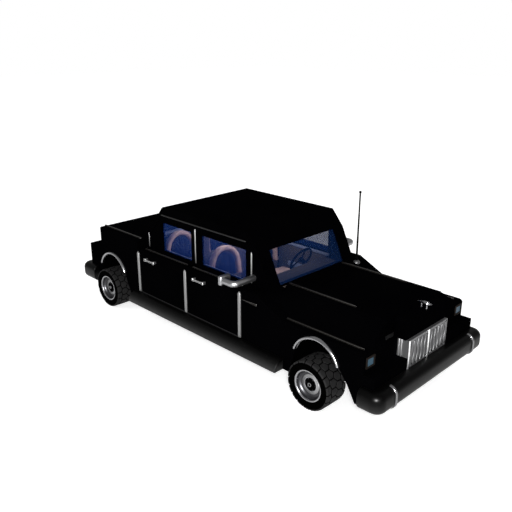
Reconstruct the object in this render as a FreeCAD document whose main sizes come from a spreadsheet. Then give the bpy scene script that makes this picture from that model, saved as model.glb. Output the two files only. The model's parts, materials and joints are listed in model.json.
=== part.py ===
import FreeCAD, Part
import os
import Sketcher
from math import atan2, cos, pi, radians, sin

# A classic four-door stretch limousine, in millimetres.
# +X points forward, +Y to the car's left and +Z up; the origin is on the ground under the car's middle.

doc = FreeCAD.newDocument("limousine")
sheet = doc.addObject("Spreadsheet::Sheet", "Sheet")


class Size:
    """A length that carries its value and the sheet expression that gives it."""

    def __init__(self, value, text):
        self.value = value
        self.text = text

    def __add__(self, other):
        other = as_size(other)
        return Size(self.value + other.value, f"({self.text} + {other.text})")

    def __sub__(self, other):
        other = as_size(other)
        return Size(self.value - other.value, f"({self.text} - {other.text})")

    def __mul__(self, factor):
        factor = as_size(factor)
        return Size(self.value * factor.value, f"({self.text} * {factor.text})")

    def __truediv__(self, factor):
        factor = as_size(factor)
        return Size(self.value / factor.value, f"({self.text} / {factor.text})")

    def __neg__(self):
        return Size(-self.value, f"(0 - {self.text})")


def as_size(number):
    """Wrap a plain number, and pass a Size through."""
    return number if isinstance(number, Size) else Size(float(number), repr(number))


# Driving dimensions: alias, millimetres
SIZES = {
    # body
    "half_width": 1044, "under_height": 255, "belt_height": 1051,
    "panel": 40, "side_wall": 60, "seam": 8, "shoulder": 16, "overrun": 50,
    # places of the door seams, from the middle of the car
    "front_seam": 733, "middle_seam": -317, "rear_seam": -1379,
    # running gear
    "wheelbase": 4020, "front_axle": 1978, "tyre_radius": 296, "tyre_width": 336,
    "tyre_shoulder": 30, "bead_radius": 179, "rim_radius": 179,
    "flange_radius": 190, "rim_inset": 12, "rim_wall": 14, "flange_width": 14, "disc_inset": 74,
    "disc_wall": 16, "hub_radius": 58, "hub_width": 90, "hub_cap": 26, "spindle_radius": 28,
    "spindle_gap": 0.05, "spindle_end": 12, "well_radius": 132,
    "kingpin_radius": 16, "eye_radius": 36, "eye_height": 84,
    "fork_gap": 6, "fork_arm": 22, "fork_depth": 64, "beam_radius": 38,
    "axle_radius": 44, "differential_radius": 130, "flange_plate": 12,
    # chassis
    "rail_inner": 420, "rail_width": 80, "rail_bottom": 390, "rail_height": 90, "rail_front": 2540,
    "cross_member": 90, "floor": 30, "leaf_width": 60, "leaf": 26, "leaf_reach": 260,
    "sill_top": 400, "sill_wall": 25,
    "board_width": 146, "board_front": 1484, "board_rear": -1480,
    # wheel arches
    "arch_radius": 319, "arch_height": 520, "arch_skirt": 90, "arch_lean": 132,
    "arch_knee_height": 437, "lip": 22, "lip_proud": 18, "lip_share": 0.94,
    # front end
    "cowl_end": 1058, "cowl_level": 1040,
    "wing_level": 1450, "slope_depth": 49, "nose": 2600, "nose_foot": 2556, "house_wall": 40,
    "ledge_front": 2740, "ledge_height": 634,
    "shell_half": 425, "shell_back": 2548, "shell_front": 2704,
    "shell_bottom": 445, "shell_wall": 34, "shell_slope": 60,
    "grille_half": 413, "grille_depth": 30, "grille_frame": 26, "grille_bar": 26,
    "shell_round": 40,
    # bonnet and boot lid
   
    "bonnet_wall": 30, "bonnet_edge": 28, "bonnet_rear": 1096, "bonnet_lean": 24,
    "cowl_ledge": 1085,
    # hinges
    "bonnet_hinge_x": 1120, "bonnet_pin": 8,
    "boot_hinge_x": -1516, "boot_pin": 6, "pin_reach": 32,
    "door_pin": 4, "pin_gap": 0.05, "door_hinge_depth": 8, "hinge_block": 12,
    "hinge_height": 24, "hinge_clear": 5,
    "boot_front": -1500, "tail": -2363, "lid_wall": 40,
    # tail
    "tail_ledge": -2696, "tub_wall": 25,
    # greenhouse
    "cabin_wall": 46, "roof_height": 1701,
    "roof_front": 667, "roof_rear": -1030, "brow_front": 855,
    "rear_brow": -1113, "back_foot": -1482, "roof_wall": 40,
    "roof_round": 16, "screen_margin": 12,
    "glass": 6,
    "post_width": 40, "post_front": -301, "quarter_post": -1363, "quarter_run": 82, "post_depth": 54,
    # doors
    "edge_taper": 30, "quarter_gap": 20,
    "front_window_rear": -198, "front_window_front": 647,
    "rear_window_rear": -1045, "rear_window_front": -409, "hinge_inset": 10,
    # brightwork
    "strip_width": 44, "strip_proud": 18, "strip_point": 30,
    "pillar_strip": 20, "pillar_proud": 8,
   
    "trim_width": 24, "trim_height": 18, "trim_point": 70,
    "belt_trim_inset": 86, "wing_trim_front": 2535,
    "bonnet_trim_front": 2107, "deck_trim_front": -1400,
    "drip_width": 20, "drip_height": 16, "drip_front": 654, "drip_rear": -1038,
    "handle_length": 230, "handle_place": 320, "handle_bar": 22,
    "handle_block": 36, "handle_out": 52,
    # bumpers
    "bumper_front": 2890, "bumper_bottom": 262, "bumper_height": 247,
    "bumper_corner": 130, "bumper_round": 84, "bumper_return": 2600, "rear_return": -2500,
    "rider_width": 30, "rider_thick": 14, "rider_gap": 0.3,
    # lamps
   
    "lamp_proud": 14, "lamp_frame": 24, "lamp_glass": 8,
   
    # inside
    "dash_rear": 660, "dash_foot": 800,
    "fire_wall": 30, "seat_base": 510,
    "cushion_top": 740, "cushion_length": 480, "back_wall": 130, "seat_rake": 60,
    "front_seat_back": -250, "rear_seat_back": -1240,
    "partition_place": -450, "partition_wall": 30,
   
    "engine_length": 1050, "engine_half": 290, "engine_height": 480, "engine_rear": 1260,
    "steering_radius": 190, "steering_rim": 14, "steering_hub": 40,
    "steering_x": 500, "column_radius": 30, "column_bore": 12.05,
    "shaft_radius": 12, "spoke": 22, "column_length": 260,
    # mirrors, aerial and ornament
    "mirror_arm_x": 787, "arm_radius": 28, "arm_bend": 60,
    "head_front": 604, "head_depth": 60,
    "head_height": 126, "head_round": 28,
    "aerial_x": 1123, "aerial_top": 2024, "aerial_radius": 5,
    "aerial_base": 42, "aerial_base_height": 46,
    "ornament_x": 2680, "ornament_length": 200, "ornament_radius": 24, "ornament_height": 90,
    "ornament_post": 9,
    # steps from one place to another, and smaller sizes
    "bumper_wrap": 93, "tyre_reach": 151, "kingpin_inset": 235, "cabin_inset": 214, "door_thick": 260,
    "sill_width": 284, "quarter_width": 254, "tub_inset": 45, "wing_flat": 164, "wing_width": 436,
    "lamp_margin": 38, "lamp_width": 153, "belt_trim_margin": 87, "wing_trim_margin": 104,
    "bonnet_trim_margin": 75, "aerial_inset": 232, "rider_inset": 312, "screen_pillar": 200,
    "back_pillar": 230, "partition_side": 260, "arm_reach": 121, "head_reach": 47, "head_width": 172,
    "deck_rise": 134, "dash_drop": 11, "dash_edge": 40, "dash_depth": 140, "cowl_step": 39,
    "bonnet_rise": 27, "bonnet_skirt": 78, "chin_drop": 210, "bonnet_pin_drop": 52, "wing_drop": 194,
    "crown_height": 234, "lamp_drop": 42, "lamp_height": 129, "window_sill": 9, "strip_drop": 20,
    "screen_strip_lift": 24, "handle_drop": 95, "high_hinge_drop": 171, "low_hinge_lift": 160,
    "mirror_lift": 104, "steering_drop": 41, "partition_sill": 29, "seat_rise": 199,
    "quarter_strip": 81, "boot_pin_drop": 20, "boot_face": 210, "back_glass_lift": 55,
    "ledge_drop": 332, "tail_lamp_drop": 93, "tail_lamp_height": 200, "rail_drop": 117,
    "window_drop": 222, "brow_drop": 219, "rear_brow_drop": 99, "back_glass_drop": 126,
    "screen_strip_drop": 7, "middle_strip_drop": 48, "seat_margin": 104, "seat_gap": 80,
    "tail_wall": 14, "bead_half": 128, "tread_edge": 10, "jack_front": 1000, "jack_rear": -1000,
    "jack_length": 70, "jack_depth": 12, "grille_front": 2740, "grille_wall": 20, "side_bar": 20,
    "side_bar_start": 10, "side_bar_pitch": 30, "side_bar_proud": 5, "nose_bevel": 32, "nose_lean": 60,
    "bar_rear": 797, "bar_front": 1054, "bar_height": 938, "bar_half": 14, "bar_proud": 14, "octagon_share": 0.414, "house_foot": 300, "beam_slot": 60,
}

# Angles in degrees
STEERING_TILT = 25

for row, (alias, value) in enumerate(SIZES.items(), start=1):
    sheet.set(f"A{row}", alias)
    sheet.set(f"B{row}", str(value))
    sheet.setAlias(f"B{row}", alias)
doc.recompute()


class Named:
    """Gives each size of the sheet by its alias."""

    def __getattr__(self, alias):
        return Size(float(SIZES[alias]), f"Sheet.{alias}")


s = Named()
nodes = {}

# Places that go with the body's side
s.bumper_half = s.half_width + s.bumper_wrap
s.tyre_face = s.half_width + s.tyre_reach
s.kingpin_place = s.tyre_face - s.kingpin_inset
s.cabin_half = s.half_width - s.cabin_inset
s.door_inner = s.half_width - s.door_thick
s.sill_inner = s.half_width - s.sill_width
s.boot_half = s.half_width - s.quarter_width
s.tub_half = s.boot_half - s.tub_inset
s.wing_slope = s.half_width - s.wing_flat
s.wing_inner = s.half_width - s.wing_width
s.bonnet_half = s.wing_inner - s.seam
s.lamp_outer = s.half_width - s.lamp_margin
s.lamp_inner = s.lamp_outer - s.lamp_width
s.belt_trim_place = s.half_width - s.belt_trim_margin
s.wing_trim_place = s.half_width - s.wing_trim_margin
s.bonnet_trim_place = s.bonnet_half - s.bonnet_trim_margin
s.aerial_y = s.half_width - s.aerial_inset
s.rider_place = s.bumper_half - s.rider_inset
s.screen_half = s.cabin_half - s.screen_pillar
s.back_glass_half = s.cabin_half - s.back_pillar
s.partition_half = s.sill_inner - s.partition_side
s.arm_out = s.half_width + s.arm_reach
s.head_outer = s.arm_out + s.head_reach
s.head_inner = s.head_outer - s.head_width

# Places that go with the belt line
s.deck_height = s.belt_height + s.deck_rise
s.dash_top = s.belt_height - s.dash_drop
s.dash_lip = s.dash_top - s.dash_edge
s.dash_bottom = s.dash_lip - s.dash_depth
s.cowl_ledge_height = s.belt_height - s.cowl_step
s.bonnet_height = s.belt_height + s.bonnet_rise
s.bonnet_foot = s.bonnet_height - s.bonnet_skirt
s.bonnet_chin = s.bonnet_height - s.chin_drop
s.bonnet_hinge_z = s.bonnet_height - s.bonnet_pin_drop
s.wing_height = s.belt_height - s.wing_drop
s.shell_height = s.bonnet_height
s.grille_top = s.shell_height - s.crown_height
s.lamp_top = s.wing_height - s.lamp_drop
s.lamp_bottom = s.lamp_top - s.lamp_height
s.window_bottom = s.belt_height + s.window_sill
s.strip_top = s.belt_height - s.strip_drop
s.screen_strip_bottom = s.belt_height + s.screen_strip_lift
s.handle_height = s.belt_height - s.handle_drop
s.high_hinge = s.belt_height - s.high_hinge_drop
s.low_hinge = s.sill_top + s.low_hinge_lift
s.mirror_height = s.belt_height + s.mirror_lift
s.steering_height = s.belt_height - s.steering_drop
s.partition_window_bottom = s.belt_height + s.partition_sill
s.seat_top = s.belt_height + s.seat_rise

# Places that go with the deck
s.quarter_strip_top = s.deck_height + s.quarter_strip
s.boot_hinge_z = s.deck_height - s.boot_pin_drop
s.boot_lip = s.deck_height - s.boot_face
s.back_glass_bottom = s.deck_height + s.back_glass_lift
s.tail_ledge_height = s.deck_height - s.ledge_drop
s.tail_lamp_top = s.tail_ledge_height - s.tail_lamp_drop
s.tail_lamp_bottom = s.tail_lamp_top - s.tail_lamp_height

# Places that go with the roof
s.rail_height_roof = s.roof_height - s.rail_drop
s.window_top = s.roof_height - s.window_drop
s.brow_height = s.roof_height - s.brow_drop
s.rear_brow_height = s.roof_height - s.rear_brow_drop
s.back_glass_top = s.roof_height - s.back_glass_drop
s.screen_strip_top = s.brow_height - s.screen_strip_drop
s.middle_strip_top = s.rail_height_roof - s.middle_strip_drop
s.partition_window_top = s.window_top

# Seats fill the width between the doors, but for a gangway
s.seat_place = (s.door_inner - s.seat_margin + s.seat_gap) / 2
s.seat_half = (s.door_inner - s.seat_margin - s.seat_gap) / 2
s.steering_place = s.seat_place


def bind(thing, prop, size):
    """Bind a property to a size's sheet expression."""
    thing.setExpression(prop, as_size(size).text)


def plane_of(body, role):
    """Find an origin plane or axis of a body by its role."""
    return next(f for f in body.Origin.OriginFeatures if f.Role == role)


def new_sketch(body, role, start=0):
    """A sketch on one of the body's origin planes, moved along its normal by a size."""
    sketch = body.newObject("Sketcher::SketchObject", "Sketch")
    sketch.AttachmentSupport = (plane_of(body, role), "")
    sketch.MapMode = "FlatFace"
    bind(sketch, ".AttachmentOffset.Base.z", start)
    return sketch


def pin(sketch, geometry, end, point):
    """Fix one end of an edge at a named place."""
    for kind, axis, size in (("DistanceX", -2, point[0]), ("DistanceY", -1, point[1])):
        if not isinstance(size, Size):
            sketch.addConstraint(Sketcher.Constraint("PointOnObject", geometry, end, axis))
            continue
        index = sketch.addConstraint(Sketcher.Constraint(kind, -1, 1, geometry, end, size.value))
        sketch.setExpression(f"Constraints[{index}]", size.text)


def place(size):
    return size.value if isinstance(size, Size) else float(size)


def draw(sketch, points):
    """Draw one closed outline. A point is (x, y), or (x, y, radius, side) when an arc leads to the next.

    side is 1 for an arc that bulges to the left of its run and -1 for one that bulges to the right.
    """
    edges = []
    count = len(points)
    for index, point in enumerate(points):
        after = points[(index + 1) % count]
        start = FreeCAD.Vector(place(point[0]), place(point[1]), 0)
        end = FreeCAD.Vector(place(after[0]), place(after[1]), 0)
        if len(point) == 2:
            geometry = sketch.addGeometry(Part.LineSegment(start, end), False)
            edges.append((geometry, 1, 2))
            continue
        radius, side = point[2], point[3]
        chord = end - start
        left = FreeCAD.Vector(-chord.y, chord.x, 0).normalize()
        depth = (radius.value ** 2 - (chord.Length / 2) ** 2) ** 0.5
        centre = (start + end) * 0.5 - left * (side * depth)
        low, high = (start, end) if side < 0 else (end, start)
        first = atan2(low.y - centre.y, low.x - centre.x)
        sweep = (atan2(high.y - centre.y, high.x - centre.x) - first) % (2 * pi)
        ring = Part.Circle(centre, FreeCAD.Vector(0, 0, 1), radius.value)
        geometry = sketch.addGeometry(Part.ArcOfCircle(ring, first, first + sweep), False)
        edges.append((geometry, 1, 2) if side < 0 else (geometry, 2, 1))
        bend = sketch.addConstraint(Sketcher.Constraint("Radius", geometry, radius.value))
        sketch.setExpression(f"Constraints[{bend}]", radius.text)
    for index, (geometry, first, last) in enumerate(edges):
        after, after_first, _ = edges[(index + 1) % count]
        sketch.addConstraint(Sketcher.Constraint("Coincident", geometry, last, after, after_first))
        pin(sketch, geometry, first, points[index])


def circle(sketch, x, y, radius):
    """Draw one full circle at a named place."""
    shape = Part.Circle(FreeCAD.Vector(place(x), place(y), 0), FreeCAD.Vector(0, 0, 1), radius.value)
    geometry = sketch.addGeometry(shape, False)
    pin(sketch, geometry, 3, (x, y))
    index = sketch.addConstraint(Sketcher.Constraint("Radius", geometry, radius.value))
    sketch.setExpression(f"Constraints[{index}]", radius.text)


def rectangle(left, bottom, right, top):
    return [(left, bottom), (right, bottom), (right, top), (left, top)]


def new_body(label):
    body = doc.addObject("PartDesign::Body", label)
    body.Label = label
    return body


def pad(body, role, outlines, start, length):
    """Add a pad of closed outlines, from start over length along the plane's normal."""
    sketch = new_sketch(body, role, start)
    for outline in outlines:
        draw(sketch, outline)
    doc.recompute()
    feature = body.newObject("PartDesign::Pad", "Pad")
    feature.Profile = sketch
    bind(feature, "Length", length)
    doc.recompute()
    return feature


def cut(body, role, outlines, start, length):
    """Cut closed outlines out of a body, from start over length along the plane's normal."""
    before = body.Shape.Volume
    sketch = new_sketch(body, role, start)
    for outline in outlines:
        draw(sketch, outline)
    doc.recompute()
    feature = body.newObject("PartDesign::Pocket", "Pocket")
    feature.Profile = sketch
    feature.Reversed = True
    bind(feature, "Length", length)
    doc.recompute()
    if body.Shape.Volume >= before:
        raise RuntimeError(f"{body.Label}: a pocket cut nothing")
    return feature


def turn(body, outline):
    """Revolve an outline of (radius, place along the axle) about the body's own Y axis."""
    sketch = new_sketch(body, "XY_Plane")
    draw(sketch, outline)
    doc.recompute()
    feature = body.newObject("PartDesign::Revolution", "Revolution")
    feature.Profile = sketch
    feature.ReferenceAxis = (sketch, ["V_Axis"])
    doc.recompute()
    return feature


def round_edges(body, radius, wanted):
    """Fillet the edges of a body that a test picks."""
    tip = body.Tip
    names = [f"Edge{i}" for i, edge in enumerate(tip.Shape.Edges, start=1) if wanted(edge)]
    feature = body.newObject("PartDesign::Fillet", "Fillet")
    feature.Base = (tip, names)
    bind(feature, "Radius", radius)
    doc.recompute()
    return feature


def at(edge, **limits):
    """Tell whether an edge's box lies within limits such as x0, x1, y0, y1, z0 and z1."""
    box = edge.BoundBox
    slack = s.overrun.value / 50
    ends = {"x0": box.XMin, "x1": box.XMax, "y0": box.YMin, "y1": box.YMax,
            "z0": box.ZMin, "z1": box.ZMax}
    return all(abs(ends[name] - place(limit)) < slack for name, limit in limits.items())


def part_box(x0, x1, y0, y1, z0, z1):
    """A Part box between named places."""
    box = doc.addObject("Part::Box", "Box")
    for name, low, high in (("Length", x0, x1), ("Width", y0, y1), ("Height", z0, z1)):
        bind(box, name, as_size(high) - as_size(low))
    for name, low in (("x", x0), ("y", y0), ("z", z0)):
        bind(box, f".Placement.Base.{name}", low)
    return box


def mirrored(thing, label="Mirrored", across=(0, 1, 0)):
    """The same piece on the other side of the car, or at its other end."""
    other = doc.addObject("Part::Mirroring", label)
    other.Label = label
    other.Source = thing
    other.Normal = FreeCAD.Vector(*across)
    return other


def fore_and_aft(label, thing):
    """The same piece turned to the other end of the car."""
    return mirrored(thing, label, (1, 0, 0))


def together(label, things):
    """Pieces of one kind that share a node and don't touch."""
    group = doc.addObject("Part::Compound", label)
    group.Label = label
    group.Links = things
    return group


def joined(label, things):
    fused = doc.addObject("Part::MultiFuse", label)
    fused.Label = label
    fused.Shapes = things
    return fused


def drilled(label, solid, holes):
    """One solid with another taken out of it."""
    result = doc.addObject("Part::Cut", label)
    result.Label = label
    result.Base = solid
    result.Tool = holes
    return result


def keep(thing, label=None):
    """Hand a finished piece in under its node name."""
    if label:
        thing.Label = label
    nodes[thing.Label] = thing
    return thing


def both_sides(label, thing):
    return keep(together(label, [thing, mirrored(thing)]))


def rod(x, y, z, radius, length, direction):
    """A round bar from a named place, along one axis of the car."""
    bar = doc.addObject("Part::Cylinder", "Rod")
    bind(bar, "Radius", radius)
    bind(bar, "Height", length)
    turns = {"x": (FreeCAD.Vector(0, 1, 0), 90), "y": (FreeCAD.Vector(1, 0, 0), -90),
             "z": (FreeCAD.Vector(0, 0, 1), 0)}
    axis, angle = turns[direction]
    bar.Placement = FreeCAD.Placement(FreeCAD.Vector(0, 0, 0), FreeCAD.Rotation(axis, angle))
    for name, size in (("x", x), ("y", y), ("z", z)):
        bind(bar, f".Placement.Base.{name}", size)
    return bar


REAR_AXLE = s.front_axle - s.wheelbase
WHEEL_PLACE = s.tyre_face - s.tyre_width / 2
FLOOR_BOTTOM = s.rail_bottom + s.rail_height
FLOOR_TOP = FLOOR_BOTTOM + s.floor


def chassis():
    """Ladder frame: two rails joined by five cross members, with four jacking pads below."""
    outer = s.rail_inner + s.rail_width
    body = new_body("chassis_frame")
    bays = []
    bay_count = 4
    tail = s.tail + s.panel
    pitch = (s.rail_front - tail - s.cross_member) / bay_count
    for bay in range(bay_count):
        rear = tail + s.cross_member + pitch * bay
        bays.append(rectangle(rear, -s.rail_inner, rear + pitch - s.cross_member, s.rail_inner))
    frame = rectangle(tail, -outer, s.rail_front, outer)
    pad(body, "XY_Plane", [frame] + bays, s.rail_bottom, s.rail_height)
    pads = [rectangle(x, s.rail_inner * side, x + s.jack_length, outer * side)
            for x in (s.jack_front, s.jack_rear) for side in (1, -1)]
    pad(body, "XY_Plane", pads, s.rail_bottom - s.jack_depth, s.jack_depth)
    keep(body)


def leaf_springs():
    """Four bowed leaves, whose ends meet the rails and whose middles sit on the axles."""
    leaves = []
    for axle, seat in ((s.front_axle, s.beam_radius), (REAR_AXLE, s.axle_radius)):
        low = s.tyre_radius + seat
        body = new_body("leaf")
        top = s.rail_bottom
        eye = s.leaf_width / 2
        outline = [
            (axle - s.leaf_reach, top), (axle - s.leaf_reach, top - s.leaf),
            (axle - eye, low), (axle + eye, low),
            (axle + s.leaf_reach, top - s.leaf), (axle + s.leaf_reach, top),
            (axle + s.leaf_reach - s.leaf_width, top), (axle + eye, low + s.leaf),
            (axle - eye, low + s.leaf), (axle - s.leaf_reach + s.leaf_width, top),
        ]
        side = s.rail_inner + (s.rail_width - s.leaf_width) / 2
        pad(body, "XZ_Plane", [outline], side, s.leaf_width)
        leaves += [body, mirrored(body)]
    keep(together("leaf_springs", leaves))


def floor_pan():
    """Cabin floor with a boxed sill along each side."""
    out, inn, wall = s.half_width, s.sill_inner, s.sill_wall
    half = [
        (-out, s.under_height), (-out, s.sill_top), (-inn, s.sill_top), (-inn, FLOOR_TOP),
        (inn, FLOOR_TOP), (inn, s.sill_top), (out, s.sill_top), (out, s.under_height),
        (out - wall, s.under_height), (out - wall, s.sill_top - wall),
        (inn - wall, s.sill_top - wall), (inn - wall, FLOOR_BOTTOM),
        (wall - inn, FLOOR_BOTTOM), (wall - inn, s.sill_top - wall),
        (wall - out, s.sill_top - wall), (wall - out, s.under_height),
    ]
    body = new_body("floor_pan")
    rear = s.rear_seam - s.seam / 2
    pad(body, "YZ_Plane", [half], rear, s.front_seam + s.seam / 2 - rear)
    keep(body)


def running_boards():
    """Quarter-round boards with a flat underside, outside the sills."""
    out = s.half_width
    top = s.under_height + s.board_width
    outline = [
        (out, s.under_height), (out + s.board_width, s.under_height, s.board_width, -1), (out, top),
    ]
    body = new_body("running_board")
    pad(body, "YZ_Plane", [outline], s.board_rear, s.board_front - s.board_rear)
    both_sides("running_boards", body)


def engine():
    """Engine and gearbox mass, as one plain block on the frame."""
    block = part_box(s.engine_rear, s.engine_rear + s.engine_length, -s.engine_half, s.engine_half,
                     FLOOR_BOTTOM, FLOOR_BOTTOM + s.engine_height)
    bearer = s.engine_rear + s.engine_length / 2
    bearers = part_box(bearer, bearer + s.cross_member, -s.rail_inner - s.leaf,
                       s.rail_inner + s.leaf, FLOOR_BOTTOM, FLOOR_BOTTOM + s.leaf)
    keep(joined("engine_block", [block, bearers]))


def arch_outline(axle, front_lean, rear_lean):
    """Wheel arch: a round top on two legs that lean away from the wheel."""
    span = s.arch_radius * s.lip_share
    drop = s.arch_height + s.arch_skirt
    low = s.under_height - s.overrun
    return [
        (axle - span, drop, s.arch_radius, 1), (axle + span, drop),
        (axle + span + s.arch_lean * front_lean, s.arch_knee_height),
        (axle + span + s.arch_lean * front_lean + s.arch_lean, low),
        (axle - span - s.arch_lean * rear_lean, low),
    ]


def wing_section(top, drop):
    """Section of the front wing's shell: house wall, sloping flank top, flat top and side."""
    inn, out = s.wing_inner, s.half_width
    house, side = inn + s.house_wall, out - s.side_wall
    under_slope = s.belt_height - s.panel - drop
    return [
        (-inn, s.house_foot), (-inn, s.belt_height), (-s.wing_slope, top), (s.shoulder - out, top),
        (-out, top - s.shoulder), (-out, s.under_height), (-side, s.under_height),
        (-side, top - s.panel), (s.shoulder - s.wing_slope, top - s.panel), (-house, under_slope),
        (-house, s.house_foot),
    ]


def front_wing():
    """Front wing: side with the wheel arch, sloping top, inner wheel house and post by the door."""
    rear = s.front_seam + s.seam / 2
    high = wing_section(s.belt_height, 0)
    low = wing_section(s.wing_height, s.slope_depth + s.house_wall)
    body = new_body("front_wing")
    pad(body, "YZ_Plane", [high], rear, s.cowl_level - rear)
    sections = []
    for outline, start in ((high, s.cowl_level), (low, s.wing_level)):
        sketch = new_sketch(body, "YZ_Plane", start)
        draw(sketch, outline)
        sections.append(sketch)
    doc.recompute()
    loft = body.newObject("PartDesign::AdditiveLoft", "Loft")
    loft.Profile = sections[0]
    loft.Sections = sections[1:]
    loft.Ruled = True
    doc.recompute()
    pad(body, "YZ_Plane", [low], s.wing_level, s.nose - s.wing_level)
    pad(body, "YZ_Plane", [high[:6] + [(-s.wing_inner, s.under_height)]], rear, s.side_wall)
    nose = low[:6] + [(-s.wing_inner, s.under_height)]
    pad(body, "YZ_Plane", [nose], s.nose - s.side_wall, s.side_wall)
    brow = [
        (s.nose - s.nose_lean, s.belt_height), (s.nose - s.nose_bevel, s.wing_height),
        (s.nose, s.wing_height - s.nose_bevel), (s.nose + s.overrun, s.wing_height - s.nose_bevel),
        (s.nose + s.overrun, s.belt_height + s.overrun), (s.nose - s.nose_lean, s.belt_height + s.overrun),
    ]
    cut(body, "XZ_Plane", [brow], s.wing_inner - s.overrun, s.half_width - s.wing_inner + s.overrun * 2)
    slot = rectangle(s.front_axle - s.beam_slot, s.house_foot - s.overrun, s.front_axle + s.beam_slot,
                     s.tyre_radius + s.beam_slot)
    cut(body, "XZ_Plane", [slot], s.wing_inner - s.overrun, s.house_wall + s.overrun * 2)
    cut(body, "XZ_Plane", [arch_outline(s.front_axle, 1, 0.9)],
        s.half_width - s.side_wall - s.overrun, s.side_wall + s.overrun * 2)
    both_sides("front_wings", body)


def rear_wing():
    """Rear wing: flank with the wheel arch, high deck and post behind the rear door."""
    front = s.rear_seam - s.seam / 2
    top = s.deck_height
    inner_edge = s.boot_half + s.seam
    outer = [
        (front, s.under_height), (front, top - s.shoulder), (front - s.shoulder, top),
        (s.tail + s.shoulder, top), (s.tail, top - s.shoulder), (s.tail, s.under_height),
    ]
    low = s.under_height - s.overrun
    inner = rectangle(s.tail + s.tail_wall, low, front - s.side_wall, top - s.panel)
    body = new_body("rear_wing")
    pad(body, "XZ_Plane", [outer], inner_edge, s.half_width - inner_edge)
    cut(body, "XZ_Plane", [inner], inner_edge - s.overrun,
        s.half_width - s.side_wall - inner_edge + s.overrun)
    cut(body, "XZ_Plane", [arch_outline(REAR_AXLE, 0.35, 0.9)],
        s.half_width - s.side_wall - s.overrun, s.side_wall + s.overrun * 2)
    both_sides("rear_wings", body)


def front_apron():
    """Nose between the wings, with the lower ledge that carries the bumper."""
    body = new_body("front_apron")
    half = s.half_width
    ledge = [
        (s.nose, s.under_height), (s.ledge_front, s.under_height),
        (s.ledge_front, s.ledge_height), (s.nose, s.ledge_height),
    ]
    pad(body, "XZ_Plane", [ledge], -half, half * 2)
    hollow = rectangle(-half + s.side_wall, s.nose - s.overrun, half - s.side_wall,
                       s.ledge_front - s.panel)
    low = s.under_height - s.overrun
    cut(body, "XY_Plane", [[(y, x) for x, y in hollow]], low,
        s.ledge_height - s.panel - low)
    face = rectangle(s.nose - s.panel, s.under_height, s.nose, s.wing_height)
    pad(body, "XZ_Plane", [face], -s.wing_inner, s.wing_inner * 2)
    for half, low, high in ((s.grille_half, s.shell_bottom, s.grille_top),
                            (s.shell_half, s.grille_top, s.shell_height)):
        cut(body, "YZ_Plane", [rectangle(-half, low, half, high)], s.shell_back - s.overrun,
            s.ledge_front + s.overrun * 2 - s.shell_back)
    keep(body)


def radiator_shell():
    """Upright crown over the grille, with a sloping brow and rounded shoulders."""
    body = new_body("radiator_shell")
    back, front = s.shell_back, s.shell_front
    side = [
        (back, s.grille_top), (front, s.grille_top), (front - s.shell_slope, s.shell_height),
        (back, s.shell_height),
    ]
    pad(body, "XZ_Plane", [side], -s.shell_half, s.shell_half * 2)
    crown = s.shell_round
    round_edges(body, crown, lambda e: at(e, z0=s.shell_height, z1=s.shell_height)
                and (at(e, y0=s.shell_half, y1=s.shell_half)
                     or at(e, y0=-s.shell_half, y1=-s.shell_half)))
    keep(body)


def grille_bars():
    """Grille: an open-backed case with upright bars in its face and two bars on each side wall."""
    body = new_body("grille_bars")
    half, frame, bar, wall = s.grille_half, s.grille_frame, s.grille_bar, s.grille_wall
    low, high = s.shell_bottom, s.grille_top
    face = s.grille_front - s.grille_depth
    gaps = []
    gap_count = 12
    clear = (half - frame) * 2
    pitch = (clear + bar) / gap_count
    for gap in range(gap_count):
        left = frame - half + pitch * gap
        gaps.append(rectangle(left, low + frame, left + pitch - bar, high - frame))
    outer = rectangle(-half, low, half, high)
    inner = rectangle(wall - half, low + wall, half - wall, high - wall)
    pad(body, "YZ_Plane", [outer, inner], s.shell_back, face - s.shell_back)
    pad(body, "YZ_Plane", [outer] + gaps, face, s.grille_depth)
    for count in range(2):
        back = s.nose + s.side_bar_start + s.side_bar_pitch * count
        for start in (-half - s.side_bar_proud, half):
            upright = rectangle(back, s.ledge_height, back + s.side_bar, high)
            pad(body, "XZ_Plane", [upright], start, s.side_bar_proud)
    keep(body)


def bonnet():
    """Bonnet: a flat-topped shell with short skirts and a front that leans back to its chin."""
    wall = s.bonnet_wall
    out, edge = s.bonnet_half, s.bonnet_edge
    height = s.bonnet_height
    shell = [
        (-out, s.bonnet_foot), (-out, height - edge), (edge - out, height), (out - edge, height),
        (out, height - edge), (out, s.bonnet_foot), (out - wall, s.bonnet_foot),
        (out - wall, height - edge - wall / 4), (out - edge - wall / 2, height - wall),
        (edge + wall / 2 - out, height - wall), (wall - out, height - edge - wall / 4),
        (wall - out, s.bonnet_foot),
    ]
    body = new_body("bonnet_shell")
    front = s.shell_back - s.seam
    pad(body, "YZ_Plane", [shell], s.bonnet_rear, front - s.bonnet_rear)
    chin = [
        (front, height - edge), (front - s.bonnet_lean, s.bonnet_chin),
        (front - s.bonnet_lean - wall, s.bonnet_chin), (front - wall, height - edge),
    ]
    pad(body, "XZ_Plane", [chin], -out, out * 2)
    lean = [(front, height - edge), (front + s.overrun, height - edge), (front + s.overrun, s.bonnet_chin),
            (front - s.bonnet_lean, s.bonnet_chin)]
    cut(body, "XZ_Plane", [lean], -out - s.overrun, (out + s.overrun) * 2)
    bores = [rod(s.bonnet_hinge_x, (out + s.overrun) * side - s.overrun * 2, s.bonnet_hinge_z,
                 s.bonnet_pin + s.pin_gap, s.overrun * 4, "y") for side in (-1, 1)]
    keep(drilled("bonnet", body, together("bonnet_bores", bores)))


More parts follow.
